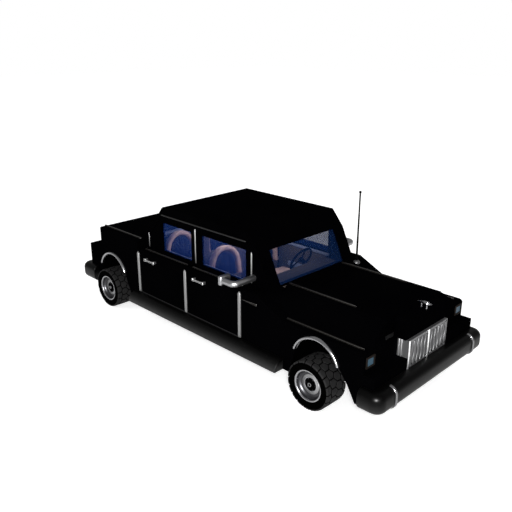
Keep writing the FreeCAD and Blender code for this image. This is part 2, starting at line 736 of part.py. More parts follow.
def boot_lid():
    """Boot lid: deck panel and upright rear panel in one."""
    wall = s.lid_wall
    outline = [
        (s.boot_front, s.deck_height), (s.boot_front, s.deck_height - wall),
        (s.tail + wall, s.deck_height - wall), (s.tail + wall, s.boot_lip),
        (s.tail, s.boot_lip), (s.tail, s.deck_height - s.shoulder),
        (s.tail + s.shoulder, s.deck_height),
    ]
    body = new_body("boot_lid_panel")
    pad(body, "XZ_Plane", [outline], -s.boot_half, s.boot_half * 2)
    depth = s.pin_reach
    bores = [rod(s.boot_hinge_x, start, s.boot_hinge_z, s.boot_pin + s.pin_gap, depth, "y")
             for start in (-s.boot_half, s.boot_half - depth)]
    keep(drilled("boot_lid", body, together("boot_bores", bores)))


def boot_tub():
    """Boot floor, inner sides and the bulkhead with the parcel shelf."""
    wall = s.tub_wall
    front = s.boot_front + s.seam
    rear = s.tail + s.side_wall
    rim = s.deck_height - s.lid_wall - s.seam * 2
    body = new_body("boot_tub")
    outline = rectangle(rear, FLOOR_BOTTOM, front, rim)
    pad(body, "XZ_Plane", [outline], -s.tub_half, s.tub_half * 2)
    inside = rectangle(rear - s.overrun, FLOOR_TOP, front - wall, rim + s.overrun)
    cut(body, "XZ_Plane", [inside], wall - s.tub_half, (s.tub_half - wall) * 2)
    shelf = [
        (front - wall, rim - wall), (s.rear_seat_back - s.back_wall, rim - wall),
        (s.rear_seat_back - s.back_wall, rim), (s.back_foot + wall, rim),
        (s.back_foot + wall, s.deck_height), (s.back_foot, s.deck_height), (s.back_foot, rim),
        (front - wall, rim),
    ]
    pad(body, "XZ_Plane", [shelf], -s.tub_half, s.tub_half * 2)
    keep(body)


def tail_panel():
    """Tail below the boot lid, with the low ledge behind it."""
    body = new_body("tail_panel")
    half = s.half_width
    inner_edge = s.boot_half + s.seam
    ledge = [
        (s.tail_ledge, s.under_height), (s.tail, s.under_height), (s.tail, s.tail_ledge_height),
        (s.tail_ledge + s.shoulder, s.tail_ledge_height),
        (s.tail_ledge, s.tail_ledge_height - s.shoulder),
    ]
    pad(body, "XZ_Plane", [ledge], -half, half * 2)
    low = s.under_height - s.overrun
    hollow = rectangle(-half + s.side_wall, s.tail_ledge + s.panel, half - s.side_wall,
                       s.tail - s.panel)
    cut(body, "XY_Plane", [[(y, x) for x, y in hollow]], low, s.tail_ledge_height - s.panel - low)
    face = rectangle(s.tail, s.under_height, s.tail + s.panel, s.boot_lip - s.seam)
    pad(body, "XZ_Plane", [face], -inner_edge, inner_edge * 2)
    keep(body)


def along(first, last, height):
    """Where a straight line between two (x, z) places reaches a height."""
    share = (height - first[1]) / (last[1] - first[1])
    return first[0] + (last[0] - first[0]) * share


def quarter_line(height):
    """Rear edge of the door opening beside the back slope, at a height."""
    foot = (s.back_foot + s.quarter_run, s.deck_height)
    brow = (s.rear_brow + s.quarter_run, s.rear_brow_height)
    return along(foot, brow, height)


def quarter_height(x):
    """Height at which the opening's upright rear edge turns into its slope."""
    foot = (s.deck_height, s.back_foot + s.quarter_run)
    brow = (s.rear_brow_height, s.rear_brow + s.quarter_run)
    return along(foot, brow, x)


def roof_and_pillars():
    """Greenhouse: roof, screen pillars and rear quarters in one hollow shell."""
    half, wall = s.cabin_half, s.cabin_wall
    post = s.quarter_post
    deck_edge = s.rear_seam - s.seam / 2
    front_post = s.front_seam + s.seam / 2
    outer = [
        (s.cowl_end, s.belt_height), (s.brow_front, s.brow_height), (s.roof_front, s.roof_height),
        (s.roof_rear, s.roof_height), (s.rear_brow, s.rear_brow_height),
        (s.back_foot, s.deck_height), (deck_edge, s.deck_height), (deck_edge, s.belt_height),
    ]
    body = new_body("roof_and_pillars")
    pad(body, "XZ_Plane", [outer], -half, half * 2)
    slant = wall * 1.4
    under = s.roof_height - s.roof_wall
    inner = [
        (s.cowl_end - slant, s.belt_height - s.overrun), (s.brow_front - slant, s.brow_height - wall / 2),
        (s.roof_front - wall / 2, under), (s.roof_rear + wall / 2, under),
        (s.rear_brow + slant, s.rear_brow_height - wall / 2), (s.back_foot + slant, s.deck_height),
        (s.back_foot + slant, s.belt_height - s.overrun),
    ]
    cut(body, "XZ_Plane", [inner], wall - half, (half - wall) * 2)
    low, high = s.belt_height - s.overrun, s.rail_height_roof
    opening = [
        (post, low), (front_post, low), (front_post, high), (quarter_line(high), high),
        (post, quarter_height(post)),
    ]
    cut(body, "XZ_Plane", [opening], -half - s.overrun, (half + s.overrun) * 2)
    screen = rectangle(-s.screen_half, s.belt_height + s.screen_margin, s.screen_half, s.brow_height)
    cut(body, "YZ_Plane", [screen], s.roof_front, s.cowl_end + s.overrun - s.roof_front)
    back = rectangle(-s.back_glass_half, s.back_glass_bottom, s.back_glass_half, s.back_glass_top)
    cut(body, "YZ_Plane", [back], s.back_foot - s.overrun, s.rear_brow - s.back_foot + s.overrun * 2)
    round_edges(body, s.roof_round, lambda e: at(e, z0=s.roof_height, z1=s.roof_height)
                and (at(e, y0=half, y1=half) or at(e, y0=-half, y1=-half)))
    keep(body)


def fixed_windows():
    """Windscreen and rear window, each a flat pane set in its slope."""
    foot, brow = (s.cowl_end, s.belt_height), (s.brow_front, s.brow_height)
    inset = s.cabin_wall / 2
    panes = []
    low, high = s.belt_height + s.screen_margin, s.brow_height
    thick = s.glass
    x_low, x_high = along(foot, brow, low) - inset, along(foot, brow, high) - inset
    screen = new_body("windscreen_pane")
    pad(screen, "XZ_Plane", [[(x_low, low), (x_high, high), (x_high - thick, high), (x_low - thick, low)]],
        -s.screen_half, s.screen_half * 2)
    panes.append(screen)
    foot, brow = (s.back_foot, s.deck_height), (s.rear_brow, s.rear_brow_height)
    low, high = s.back_glass_bottom, s.back_glass_top
    x_low, x_high = along(foot, brow, low) + inset, along(foot, brow, high) + inset
    back = new_body("rear_pane")
    pad(back, "XZ_Plane", [[(x_low, low), (x_high, high), (x_high + thick, high), (x_low + thick, low)]],
        -s.back_glass_half, s.back_glass_half * 2)
    panes.append(back)
    keep(together("fixed_windows", panes))


def scuttle():
    """Bulkhead, toe board, scuttle panel and dashboard across the car."""
    half = s.wing_inner
    rear = s.front_seam + s.seam / 2
    outline = [
        (rear, FLOOR_BOTTOM), (s.cowl_end, FLOOR_BOTTOM),
        (s.cowl_end, s.cowl_ledge_height - s.fire_wall), (s.cowl_ledge, s.cowl_ledge_height - s.fire_wall),
        (s.cowl_ledge, s.cowl_ledge_height), (s.cowl_end, s.cowl_ledge_height),
        (s.cowl_end, s.belt_height), (rear, s.belt_height),
        (s.dash_rear + s.panel, s.dash_top), (s.dash_rear, s.dash_lip),
        (s.dash_rear + s.panel / 2, s.dash_bottom), (s.dash_foot, s.dash_bottom),
        (s.dash_foot + s.panel, s.dash_bottom + s.panel),
        (s.cowl_end - s.fire_wall, s.dash_bottom + s.panel), (s.cowl_end - s.fire_wall, FLOOR_TOP),
        (rear, FLOOR_TOP),
    ]
    body = new_body("scuttle")
    pad(body, "XZ_Plane", [outline], -half, half * 2)
    bore = doc.addObject("Part::Cylinder", "Bore")
    bind(bore, "Radius", s.column_radius + s.rider_gap)
    bind(bore, "Height", s.column_length + s.rider_gap)
    lean_with_column(bore, s.column_length + s.rider_gap)
    keep(drilled("scuttle_and_dash", body, bore))


def middle_posts():
    """Posts between the front and rear doors, from the floor to the roof."""
    post_rear = s.post_front - s.post_width
    top = s.rail_height_roof
    lower_out = s.door_inner - s.seam
    lower_in = lower_out - s.post_depth
    low = FLOOR_TOP
    outline = [
        (-lower_in, low), (-lower_in, top), (-s.cabin_half, top),
        (-s.cabin_half, s.belt_height + s.seam), (-lower_out, s.belt_height + s.seam), (-lower_out, low),
    ]
    body = new_body("middle_post")
    pad(body, "YZ_Plane", [outline], post_rear, s.post_width)
    both_sides("middle_posts", body)


def door_shape(label, rear, front, window_rear, window_front, frame_front):
    """A door on the car's right, as one thick panel with its window frame."""
    taper = s.edge_taper
    top = s.rail_height_roof - s.seam
    profile = [
        (-s.half_width, s.sill_top + s.shoulder), (-s.half_width, s.belt_height - s.shoulder),
        (s.shoulder - s.half_width, s.belt_height), (-s.cabin_half, s.belt_height),
        (-s.cabin_half, top), (-s.door_inner, top), (-s.door_inner, s.sill_top + s.shoulder),
    ]
    body = new_body("door_panel")
    pad(body, "YZ_Plane", [profile], rear, front - rear)
    corner = [
        (rear - s.overrun, s.overrun - s.door_inner), (rear + taper, s.overrun - s.door_inner),
        (rear + taper, -s.cabin_half), (rear, -s.half_width), (rear - s.overrun, -s.half_width),
    ]
    cut(body, "XY_Plane", [corner], s.sill_top, s.roof_height - s.sill_top)
    notch = rectangle(frame_front, s.belt_height, front + s.overrun, s.roof_height)
    if frame_front.value < front.value:
        cut(body, "XZ_Plane", [notch], s.door_inner - s.overrun, s.overrun * 3)
    if rear.value < s.quarter_post.value:
        post = rear + taper
        high = s.roof_height
        gap = s.quarter_gap
        slope = [
            (post - s.overrun, quarter_height(post - gap)), (post, quarter_height(post - gap)),
            (quarter_line(high) + gap, high), (post - s.overrun, high),
        ]
        cut(body, "XZ_Plane", [slope], s.door_inner - s.overrun, s.overrun * 3)
    window = rectangle(window_rear, s.window_bottom, window_front, s.window_top)
    cut(body, "XZ_Plane", [window], s.door_inner - s.overrun, s.overrun * 3)
    x, y = front - s.hinge_inset, s.half_width - s.door_hinge_depth
    room = s.hinge_block / 2 + s.hinge_clear
    deep = s.door_inner if front.value < 0 else y - room
    half = s.hinge_height / 2 + s.hinge_clear
    bores = []
    for height in (s.low_hinge, s.high_hinge):
        notch = rectangle(x - room, height - half, front + s.overrun, height + half)
        cut(body, "XZ_Plane", [notch], deep - s.overrun * (1 if front.value < 0 else 0),
            s.half_width + s.overrun - deep + s.overrun * (1 if front.value < 0 else 0))
        reach = half + s.pin_reach
        bores.append(rod(x, -y, height - reach, s.door_pin + s.pin_gap, reach * 2, "z"))
    return drilled(label, body, together(f"{label}_bores", bores))


def door_glass(label, window_rear, window_front):
    body = new_body(label)
    middle = s.door_inner + (s.cabin_half - s.door_inner - s.glass) / 2
    window = rectangle(window_rear, s.window_bottom, window_front, s.window_top)
    pad(body, "XZ_Plane", [window], middle, s.glass)
    return body


def pointed(low, high, left, right, point):
    """An upright strip with a pointed top."""
    middle = (left + right) / 2
    return [(left, low), (right, low), (right, high - point), (middle, high), (left, high - point)]


def handle(rear):
    """Door handle: a bar on two end blocks."""
    out, length = s.half_width, s.handle_length
    start = rear + s.handle_place - length / 2
    low = s.handle_height - s.handle_block / 2
    blocks = []
    for left in (start, start + length - s.handle_block):
        blocks.append(part_box(left, left + s.handle_block, -out - s.handle_out, -out, low,
                               low + s.handle_block))
    bar_low = s.handle_height - s.handle_bar / 2
    blocks.append(part_box(start, start + length, -out - s.handle_out, -out - s.handle_out + s.handle_bar,
                           bar_low, bar_low + s.handle_bar))
    return joined("handle", blocks)


def door_trim(label, rear, front):
    """Bright parts of a door: edge strip, belt trim and handle."""
    strip = new_body("edge_strip")
    low = s.sill_top + s.shoulder
    pad(strip, "XZ_Plane", [pointed(low, s.strip_top, rear, rear + s.strip_width, s.strip_point)],
        s.half_width, s.strip_proud)
    belt = new_body("belt_trim")
    start, end = rear + s.belt_trim_inset, front - s.shoulder
    middle, half = -s.belt_trim_place, s.trim_width / 2
    outline = [
        (start, middle - half), (end - s.trim_point, middle - half), (end, middle),
        (end - s.trim_point, middle + half), (start, middle + half),
    ]
    pad(belt, "XY_Plane", [outline], s.belt_height, s.trim_height)
    return together(label, [strip, belt, handle(rear)])


def doors():
    """Front and rear doors with their glass and brightwork, on both sides."""
    gap = s.seam / 2
    rows = (
        ("front", s.middle_seam + gap, s.front_seam - gap, s.front_window_rear,
         s.front_window_front, s.front_seam - gap),
        ("rear", s.rear_seam + gap, s.middle_seam - gap, s.rear_window_rear,
         s.rear_window_front, s.post_front - s.post_width - s.seam),
    )
    for name, rear, front, window_rear, window_front, frame_front in rows:
        door = door_shape(f"right_{name}_door", rear, front, window_rear, window_front, frame_front)
        pane = door_glass(f"right_{name}_door_glass", window_rear, window_front)
        trim = door_trim(f"right_{name}_door_trim", rear, front)
        for piece in (door, pane, trim):
            keep(piece)
            keep(mirrored(piece, piece.Label.replace("right", "left")))


def hinges():
    """Hinge pins on the body: two for each door, and the pivots of the bonnet and the boot lid."""
    pieces = []
    y = s.half_width - s.door_hinge_depth
    wide = s.hinge_block / 2
    for front in (s.front_seam - s.seam / 2, s.middle_seam - s.seam / 2):
        x = front - s.hinge_inset
        for height in (s.low_hinge, s.high_hinge):
            low, high = height - s.hinge_height / 2, height + s.hinge_height / 2
            if front.value > 0:
                arm = part_box(x - wide, front + s.seam, -y - wide, wide - y, low, high)
            else:
                arm = part_box(x - wide, x + wide, -y - wide, s.seam - s.door_inner, low, high)
            reach = s.hinge_height / 2 + s.hinge_clear + s.pin_reach - s.hinge_clear
            pin_rod = rod(x, -y, height - reach, s.door_pin, reach * 2, "z")
            pieces.append(joined("door_hinge", [arm, pin_rod]))
    start = s.bonnet_half - s.bonnet_wall
    pieces.append(rod(s.bonnet_hinge_x, -s.wing_inner, s.bonnet_hinge_z, s.bonnet_pin,
                      s.wing_inner - start, "y"))
    edge = s.boot_half + s.seam
    pieces.append(rod(s.boot_hinge_x, -edge, s.boot_hinge_z, s.boot_pin,
                      s.seam + s.pin_reach - s.hinge_clear, "y"))
    keep(together("hinges", pieces + [mirrored(piece) for piece in pieces]))


def tyre(label, axle, side):
    """Wide tyre with bevelled shoulders, turned about its axle."""
    half, shoulder, edge = s.tyre_width / 2, s.tyre_shoulder, s.tread_edge
    bead, crown = s.bead_radius, s.tyre_radius
    outline = [
        (bead, -s.bead_half), (bead + shoulder, -half), (crown - shoulder, -half),
        (crown - edge, edge - half), (crown, shoulder - half), (crown, half - shoulder),
        (crown - edge, half - edge), (crown - shoulder, half), (bead + shoulder, half),
        (bead, s.bead_half),
    ]
    body = new_body(label)
    turn(body, outline)
    set_wheel(body, axle, side)
    keep(body)


def set_wheel(body, axle, side):
    """Stand a turned piece on its axle; its -Y side is the wheel's outer face."""
    angle = 0 if side < 0 else 180
    body.Placement = FreeCAD.Placement(FreeCAD.Vector(0, 0, 0),
                                       FreeCAD.Rotation(FreeCAD.Vector(0, 0, 1), angle))
    bind(body, ".Placement.Base.x", axle)
    bind(body, ".Placement.Base.y", WHEEL_PLACE * side)
    bind(body, ".Placement.Base.z", s.tyre_radius)


def rim(label, axle, side):
    """Deep-dish rim: flanged barrel, inset disc and long hub with a bore for the spindle."""
    half = s.tyre_width / 2 - s.rim_inset
    wall = s.rim_wall
    barrel, flange = s.rim_radius, s.flange_radius
    bore = s.spindle_radius + s.spindle_gap
    disc = s.disc_inset - s.tyre_width / 2
    hub_back = disc + s.hub_width
    inside = barrel - wall
    bead = s.tyre_width / 2 - s.tyre_shoulder
    outline = [
        (bore, hub_back), (bore, disc - s.hub_cap + s.spindle_end), (0, disc - s.hub_cap + s.spindle_end),
        (0, disc - s.hub_cap), (s.hub_radius, disc - s.hub_cap), (s.hub_radius, disc),
        (s.well_radius, disc), (inside - wall / 2, -bead), (inside, -half), (flange, -half),
        (flange, s.flange_width / 2 - half), (barrel, s.flange_width - half),
        (barrel, half - s.flange_width), (flange, half - s.flange_width / 2), (flange, half),
        (inside, half), (inside, disc + s.disc_wall + wall), (s.well_radius, disc + s.disc_wall),
        (s.hub_radius, disc + s.disc_wall), (s.hub_radius, hub_back),
    ]
    body = new_body(label)
    turn(body, outline)
    set_wheel(body, axle, side)
    keep(body)


def wheels():
    for end, axle in (("front", s.front_axle), ("rear", REAR_AXLE)):
        for name, side in (("right", -1), ("left", 1)):
            tyre(f"{name}_{end}_tyre", axle, side)
            rim(f"{name}_{end}_rim", axle, side)


HUB_BACK = WHEEL_PLACE + s.tyre_width / 2 - s.disc_inset - s.hub_width
SPINDLE_TIP = WHEEL_PLACE + s.tyre_width / 2 - s.disc_inset + s.hub_cap - s.spindle_end * 2


def knuckles():
    """Steering knuckle: a fork on the kingpin with the wheel's spindle."""
    pin_place = s.kingpin_place
    axle_z = s.tyre_radius
    arm_low = s.eye_height / 2 + s.fork_gap
    arm_high = arm_low + s.fork_arm
    back = pin_place + s.eye_radius + s.fork_gap
    inner = pin_place - s.eye_radius / 2
    outline = [
        (-inner, axle_z + arm_high), (-back - s.fork_arm, axle_z + arm_high),
        (-back - s.fork_arm, axle_z - arm_high), (-inner, axle_z - arm_high),
        (-inner, axle_z - arm_low), (-back, axle_z - arm_low),
        (-back, axle_z + arm_low), (-inner, axle_z + arm_low),
    ]
    fork = new_body("fork")
    pad(fork, "YZ_Plane", [outline], s.front_axle - s.fork_depth / 2, s.fork_depth)
    kingpin = rod(s.front_axle, -pin_place, axle_z - arm_high, s.kingpin_radius, arm_high * 2, "z")
    start = back + s.fork_arm / 2
    spindle = rod(s.front_axle, -SPINDLE_TIP, axle_z, s.spindle_radius, SPINDLE_TIP - start, "y")
    knuckle = keep(joined("right_knuckle", [fork, kingpin, spindle]))
    keep(mirrored(knuckle, "left_knuckle"))


def front_axle():
    """Front axle beam with an eye for each kingpin."""
    pin_place = s.kingpin_place
    beam = rod(s.front_axle, -pin_place, s.tyre_radius, s.beam_radius, pin_place * 2, "y")
    pieces = [beam]
    for side in (-1, 1):
        pieces.append(rod(s.front_axle, pin_place * side, s.tyre_radius - s.eye_height / 2,
                          s.eye_radius, s.eye_height, "z"))
    solid = joined("axle_blank", pieces)
    bores = []
    for side in (-1, 1):
        low = s.tyre_radius - s.eye_height
        bores.append(rod(s.front_axle, pin_place * side, low, s.kingpin_radius + s.spindle_gap,
                         s.eye_height * 2, "z"))
    holes = joined("kingpin_holes", bores)
    keep(drilled("front_axle_beam", solid, holes))


def rear_axle():
    """Live rear axle: tube, differential housing and a spindle at each end."""
    end = HUB_BACK - s.seam
    tube = rod(REAR_AXLE, -end, s.tyre_radius, s.axle_radius, end * 2, "y")
    spindle = rod(REAR_AXLE, -SPINDLE_TIP, s.tyre_radius, s.spindle_radius, SPINDLE_TIP * 2, "y")
    housing = doc.addObject("Part::Sphere", "Housing")
    bind(housing, "Radius", s.differential_radius)
    bind(housing, ".Placement.Base.x", REAR_AXLE)
    bind(housing, ".Placement.Base.z", s.tyre_radius)
    keep(joined("rear_axle", [tube, spindle, housing]))


def bumper(label, back, tip):
    """Round-faced bumper that wraps back along the flanks."""
    half, corner = s.bumper_half, s.bumper_corner
    face, inner = s.bumper_front, s.half_width
    body = new_body(label)
    outline = [
        (tip, -half), (face - corner, -half, corner, -1), (face, corner - half),
        (face, half - corner, corner, -1), (face - corner, half), (tip, half), (tip, inner),
        (back, inner), (back, -inner), (tip, -inner),
    ]
    pad(body, "XY_Plane", [outline], s.bumper_bottom, s.bumper_height)
    low, high = s.bumper_bottom, s.bumper_bottom + s.bumper_height

    def face_edge(edge):
        flat = at(edge, z0=low, z1=low) or at(edge, z0=high, z1=high)
        box = edge.BoundBox
        reach = max(abs(box.YMin), abs(box.YMax))
        slack = s.seam.value / 8
        outside = abs(reach - half.value) < slack and box.XLength > slack
        ahead = abs(box.XMin - face.value) < slack and abs(box.XMax - face.value) < slack
        return flat and (outside or ahead)

    round_edges(body, s.bumper_round, face_edge)
    return body


def bumpers():
    front = bumper("front_bumper", s.ledge_front, s.bumper_return)
    rear = fore_and_aft("rear_bumper", bumper("bumper", -s.tail_ledge, -s.rear_return))
    keep(together("bumpers", [front, rear]))


def overriders():
    """Bright straps that wrap the faces of both bumpers."""
    gap, thick, bend = s.rider_gap, s.rider_thick, s.bumper_round
    low = s.bumper_bottom - gap
    high = s.bumper_bottom + s.bumper_height + gap
    front = s.bumper_front + gap
    start = s.bumper_front - bend
    near, far = bend + gap, bend + gap + thick
    outline = [
        (start, high, near, 1), (front, high - near), (front, low + near, near, 1),
        (start, low), (start, low - thick, far, -1), (front + thick, low + near),
        (front + thick, high - near, far, -1), (start, high + thick),
    ]
    strap = new_body("overrider")
    pad(strap, "XZ_Plane", [outline], s.rider_place, s.rider_width)
    pair = [strap, mirrored(strap)]
    keep(together("bumper_overriders", pair + [fore_and_aft("strap", one) for one in pair]))


def lamps():
    """Square headlamps, a frame and its glass, and the upright lamps on the tail's ledge."""
    low, high = s.lamp_bottom, s.lamp_top
    left, right = -s.lamp_outer, -s.lamp_inner
    frame = s.lamp_frame
    bezel = new_body("bezel")
    outer = rectangle(left, low, right, high)
    inner = rectangle(left + frame, low + frame, right - frame, high - frame)
    pad(bezel, "YZ_Plane", [outer, inner], s.nose, s.lamp_proud)
    both_sides("headlamp_frames", bezel)
    lens = new_body("lens")
    pad(lens, "YZ_Plane", [inner], s.nose, s.lamp_glass)
    tail = new_body("tail_lens")
    outline = rectangle(left, s.tail_lamp_bottom, right, s.tail_lamp_top)
    pad(tail, "YZ_Plane", [outline], s.tail_ledge - s.lamp_proud, s.lamp_proud)
    both_sides("headlamp_glasses", lens)
    both_sides("tail_lamps", tail)


def seat(label, back_rear):
    """One seat: cushion and back in side view, with an arched top in front view."""
    wall = s.back_wall
    side = [
        (back_rear, s.seat_base), (back_rear + s.cushion_length + wall, s.seat_base),
        (back_rear + s.cushion_length + wall, s.cushion_top),
        (back_rear + wall, s.cushion_top), (back_rear + wall - s.seat_rake, s.seat_top),
        (back_rear - s.seat_rake, s.seat_top),
    ]
    block = new_body("seat_side")
    pad(block, "XZ_Plane", [side], s.seat_place - s.seat_half, s.seat_half * 2)
    arch = new_body("seat_arch")
    left, right = -s.seat_place - s.seat_half, s.seat_half - s.seat_place
    shoulder = s.seat_top - s.seat_half
    face = [(left, s.seat_base), (right, s.seat_base), (right, shoulder, s.seat_half * 1.001, -1), (left, shoulder)]
    pad(arch, "YZ_Plane", [face], back_rear - s.seat_rake - s.overrun,
        s.cushion_length + wall + s.seat_rake + s.overrun * 2)
    shape = doc.addObject("Part::Common", "Seat")
    shape.Base = block
    shape.Tool = arch
    return shape


def seats():
    """Two front seats and two rear seats, standing on the floor."""
    places = (s.front_seat_back, s.rear_seat_back)
    chosen = [seat("seat", back) for back in places]
    keep(together("seats", chosen + [mirrored(one) for one in chosen]))


def partition():
    """Partition behind the front seats, with its window."""
    body = new_body("partition")
    half = s.sill_inner - s.post_depth
    top = s.roof_height - s.roof_wall
    pad(body, "YZ_Plane", [rectangle(-half, FLOOR_TOP, half, top),
                           rectangle(-s.partition_half, s.partition_window_bottom, s.partition_half,
                                     s.partition_window_top)],
        s.partition_place, s.partition_wall)
    keep(body)


def steering_wheel():
    """Steering wheel, spokes and shaft, leaning towards the driver."""
    radius, rim_half = s.steering_radius, s.steering_rim
    flat = rim_half * s.octagon_share
    ring = new_body("steering_ring")
    turn(ring, [
        (radius - rim_half, -flat), (radius - flat, -rim_half), (radius + flat, -rim_half),
        (radius + rim_half, -flat), (radius + rim_half, flat), (radius + flat, rim_half),
        (radius - flat, rim_half), (radius - rim_half, flat),
    ])
    ring.Placement = FreeCAD.Placement(FreeCAD.Vector(0, 0, 0), FreeCAD.Rotation(FreeCAD.Vector(1, 0, 0), 90))
    hub = doc.addObject("Part::Cylinder", "Hub")
    bind(hub, "Radius", s.steering_hub)
    bind(hub, "Height", s.steering_rim * 2)
    bind(hub, ".Placement.Base.z", -s.steering_rim)
    shaft = doc.addObject("Part::Cylinder", "Shaft")
    bind(shaft, "Radius", s.shaft_radius)
    bind(shaft, "Height", s.column_length / 2)
    bind(shaft, ".Placement.Base.z", -s.column_length / 2)
    spokes = []
    for angle in (0, 120, 240):
        spoke = doc.addObject("Part::Box", "Spoke")
        bind(spoke, "Length", s.steering_radius)
        bind(spoke, "Width", s.spoke)
        bind(spoke, "Height", s.steering_rim)
        spoke.Placement = FreeCAD.Placement(FreeCAD.Vector(0, 0, 0), FreeCAD.Rotation(FreeCAD.Vector(0, 0, 1), angle))
        bind(spoke, ".Placement.Base.x", s.spoke / 2 * sin(radians(angle)))
        bind(spoke, ".Placement.Base.y", -(s.spoke / 2 * cos(radians(angle))))
        bind(spoke, ".Placement.Base.z", -s.steering_rim / 2)
        spokes.append(spoke)
    wheel = joined("steering_wheel", [ring, hub, shaft] + spokes)
    lean_with_column(wheel)
    keep(wheel)
    column = doc.addObject("Part::Cylinder", "Column")
    bind(column, "Radius", s.column_radius)
    bind(column, "Height", s.column_length - s.spoke)
    bore = doc.addObject("Part::Cylinder", "Bore")
    bind(bore, "Radius", s.column_bore)
    bind(bore, "Height", s.column_length)
    tube = keep(drilled("steering_column", column, bore))
    lean_with_column(tube, s.column_length)


def lean_with_column(thing, back=None):
    """Tilt a piece so that its +Z points back at the driver, and set it on the column's line."""
    tilt = -(90 - STEERING_TILT)
    thing.Placement = FreeCAD.Placement(FreeCAD.Vector(0, 0, 0),
                                        FreeCAD.Rotation(FreeCAD.Vector(0, 1, 0), tilt))
    run = as_size(0) if back is None else back
    bind(thing, ".Placement.Base.x", s.steering_x + run * cos(radians(STEERING_TILT)))
    bind(thing, ".Placement.Base.y", s.steering_place)
    bind(thing, ".Placement.Base.z", s.steering_height - run * sin(radians(STEERING_TILT)))


def side_mirrors():
    """Mirrors: an arm out from the screen pillar, a bend, an arm to the rear and the upright head."""
    turn_x, turn_y = s.mirror_arm_x - s.arm_bend, -s.arm_out + s.arm_bend
    z, radius = s.mirror_height, s.arm_radius
    out = rod(s.mirror_arm_x, turn_y, z, radius, s.arm_out - s.arm_bend - s.cabin_half, "y")
    bend = doc.addObject("Part::Torus", "Bend")
    bind(bend, "Radius1", s.arm_bend)
    bind(bend, "Radius2", radius)
    bend.Angle3 = 90
    bend.Placement = FreeCAD.Placement(FreeCAD.Vector(0, 0, 0), FreeCAD.Rotation(FreeCAD.Vector(0, 0, 1), -90))
    for name, size in (("x", turn_x), ("y", turn_y), ("z", z)):
        bind(bend, f".Placement.Base.{name}", size)
    back = rod(s.head_front - s.head_depth / 2, -s.arm_out, z, radius, turn_x - s.head_front + s.head_depth / 2, "x")
    head = new_body("mirror_head")
    low = z - s.head_height / 2
    outline = rectangle(-s.head_outer, low, -s.head_inner, low + s.head_height)
    pad(head, "YZ_Plane", [outline], s.head_front - s.head_depth, s.head_depth)
    round_edges(head, s.head_round, lambda e: at(e, y0=-s.head_outer, y1=-s.head_outer)
                and e.BoundBox.ZLength > s.head_depth.value)
    both_sides("side_mirrors", joined("mirror_right", [out, bend, back, head]))


def aerial():
    """Whip aerial on a domed base on the left wing."""
    base = doc.addObject("Part::Cone", "Base")
    bind(base, "Radius1", s.aerial_base)
    bind(base, "Radius2", s.aerial_base / 2)
    bind(base, "Height", s.aerial_base_height)
    bind(base, ".Placement.Base.x", s.aerial_x)
    bind(base, ".Placement.Base.y", s.aerial_y)
    foot = s.belt_height - s.aerial_base_height
    bind(base, ".Placement.Base.z", foot)
    mast = rod(s.aerial_x, s.aerial_y, foot, s.aerial_radius, s.aerial_top - foot, "z")
    keep(drilled("aerial", joined("aerial_blank", [base, mast]), nodes["front_wings"]))


def ornament():
    """Streamlined ornament on two short posts, on the crown of the radiator shell."""
    length, radius = s.ornament_length, s.ornament_radius
    tip = s.ornament_x + length / 3
    body = new_body("dart")
    sketch = new_sketch(body, "XZ_Plane")
    z = s.shell_height + s.ornament_height - radius
    draw(sketch, [(tip, z), (s.ornament_x, z + radius), (tip - length, z)])
    doc.recompute()
    feature = body.newObject("PartDesign::Revolution", "Revolution")
    feature.Profile = sketch
    feature.ReferenceAxis = (sketch, ["Edge3"])
    doc.recompute()
    posts = []
    for x in (s.ornament_x, s.ornament_x - length / 3):
        posts.append(rod(x, as_size(0), s.shell_height, s.ornament_post, s.ornament_height - radius, "z"))
    keep(joined("ornament", [body] + posts))


def lip(axle):
    """Bright lip round the top of a wheel arch."""
    span = s.arch_radius * s.lip_share
    drop = s.arch_height + s.arch_skirt
    far = s.arch_radius + s.lip
    outline = [
        (axle - span, drop, s.arch_radius, 1), (axle + span, drop), (axle + span + s.lip, drop, far, -1),
        (axle - span - s.lip, drop),
    ]
    body = new_body("lip")
    pad(body, "XZ_Plane", [outline], s.half_width, s.lip_proud)
    return body


def bar_trim(rear, front, place_y, height, front_point, rear_point):
    """A low trim bar along the car, pointed at the ends that are asked for."""
    half = s.trim_width / 2
    middle = -place_y
    outline = []
    if rear_point:
        outline += [(rear, middle)]
        outline += [(rear + s.trim_point, middle - half)]
    else:
        outline += [(rear, middle + half), (rear, middle - half)]
    if front_point:
        outline += [(front - s.trim_point, middle - half), (front, middle), (front - s.trim_point, middle + half)]
    else:
        outline += [(front, middle - half), (front, middle + half)]
    if rear_point:
        outline += [(rear + s.trim_point, middle + half)]
    body = new_body("bar_trim")
    pad(body, "XY_Plane", [outline], height, s.trim_height)
    return body


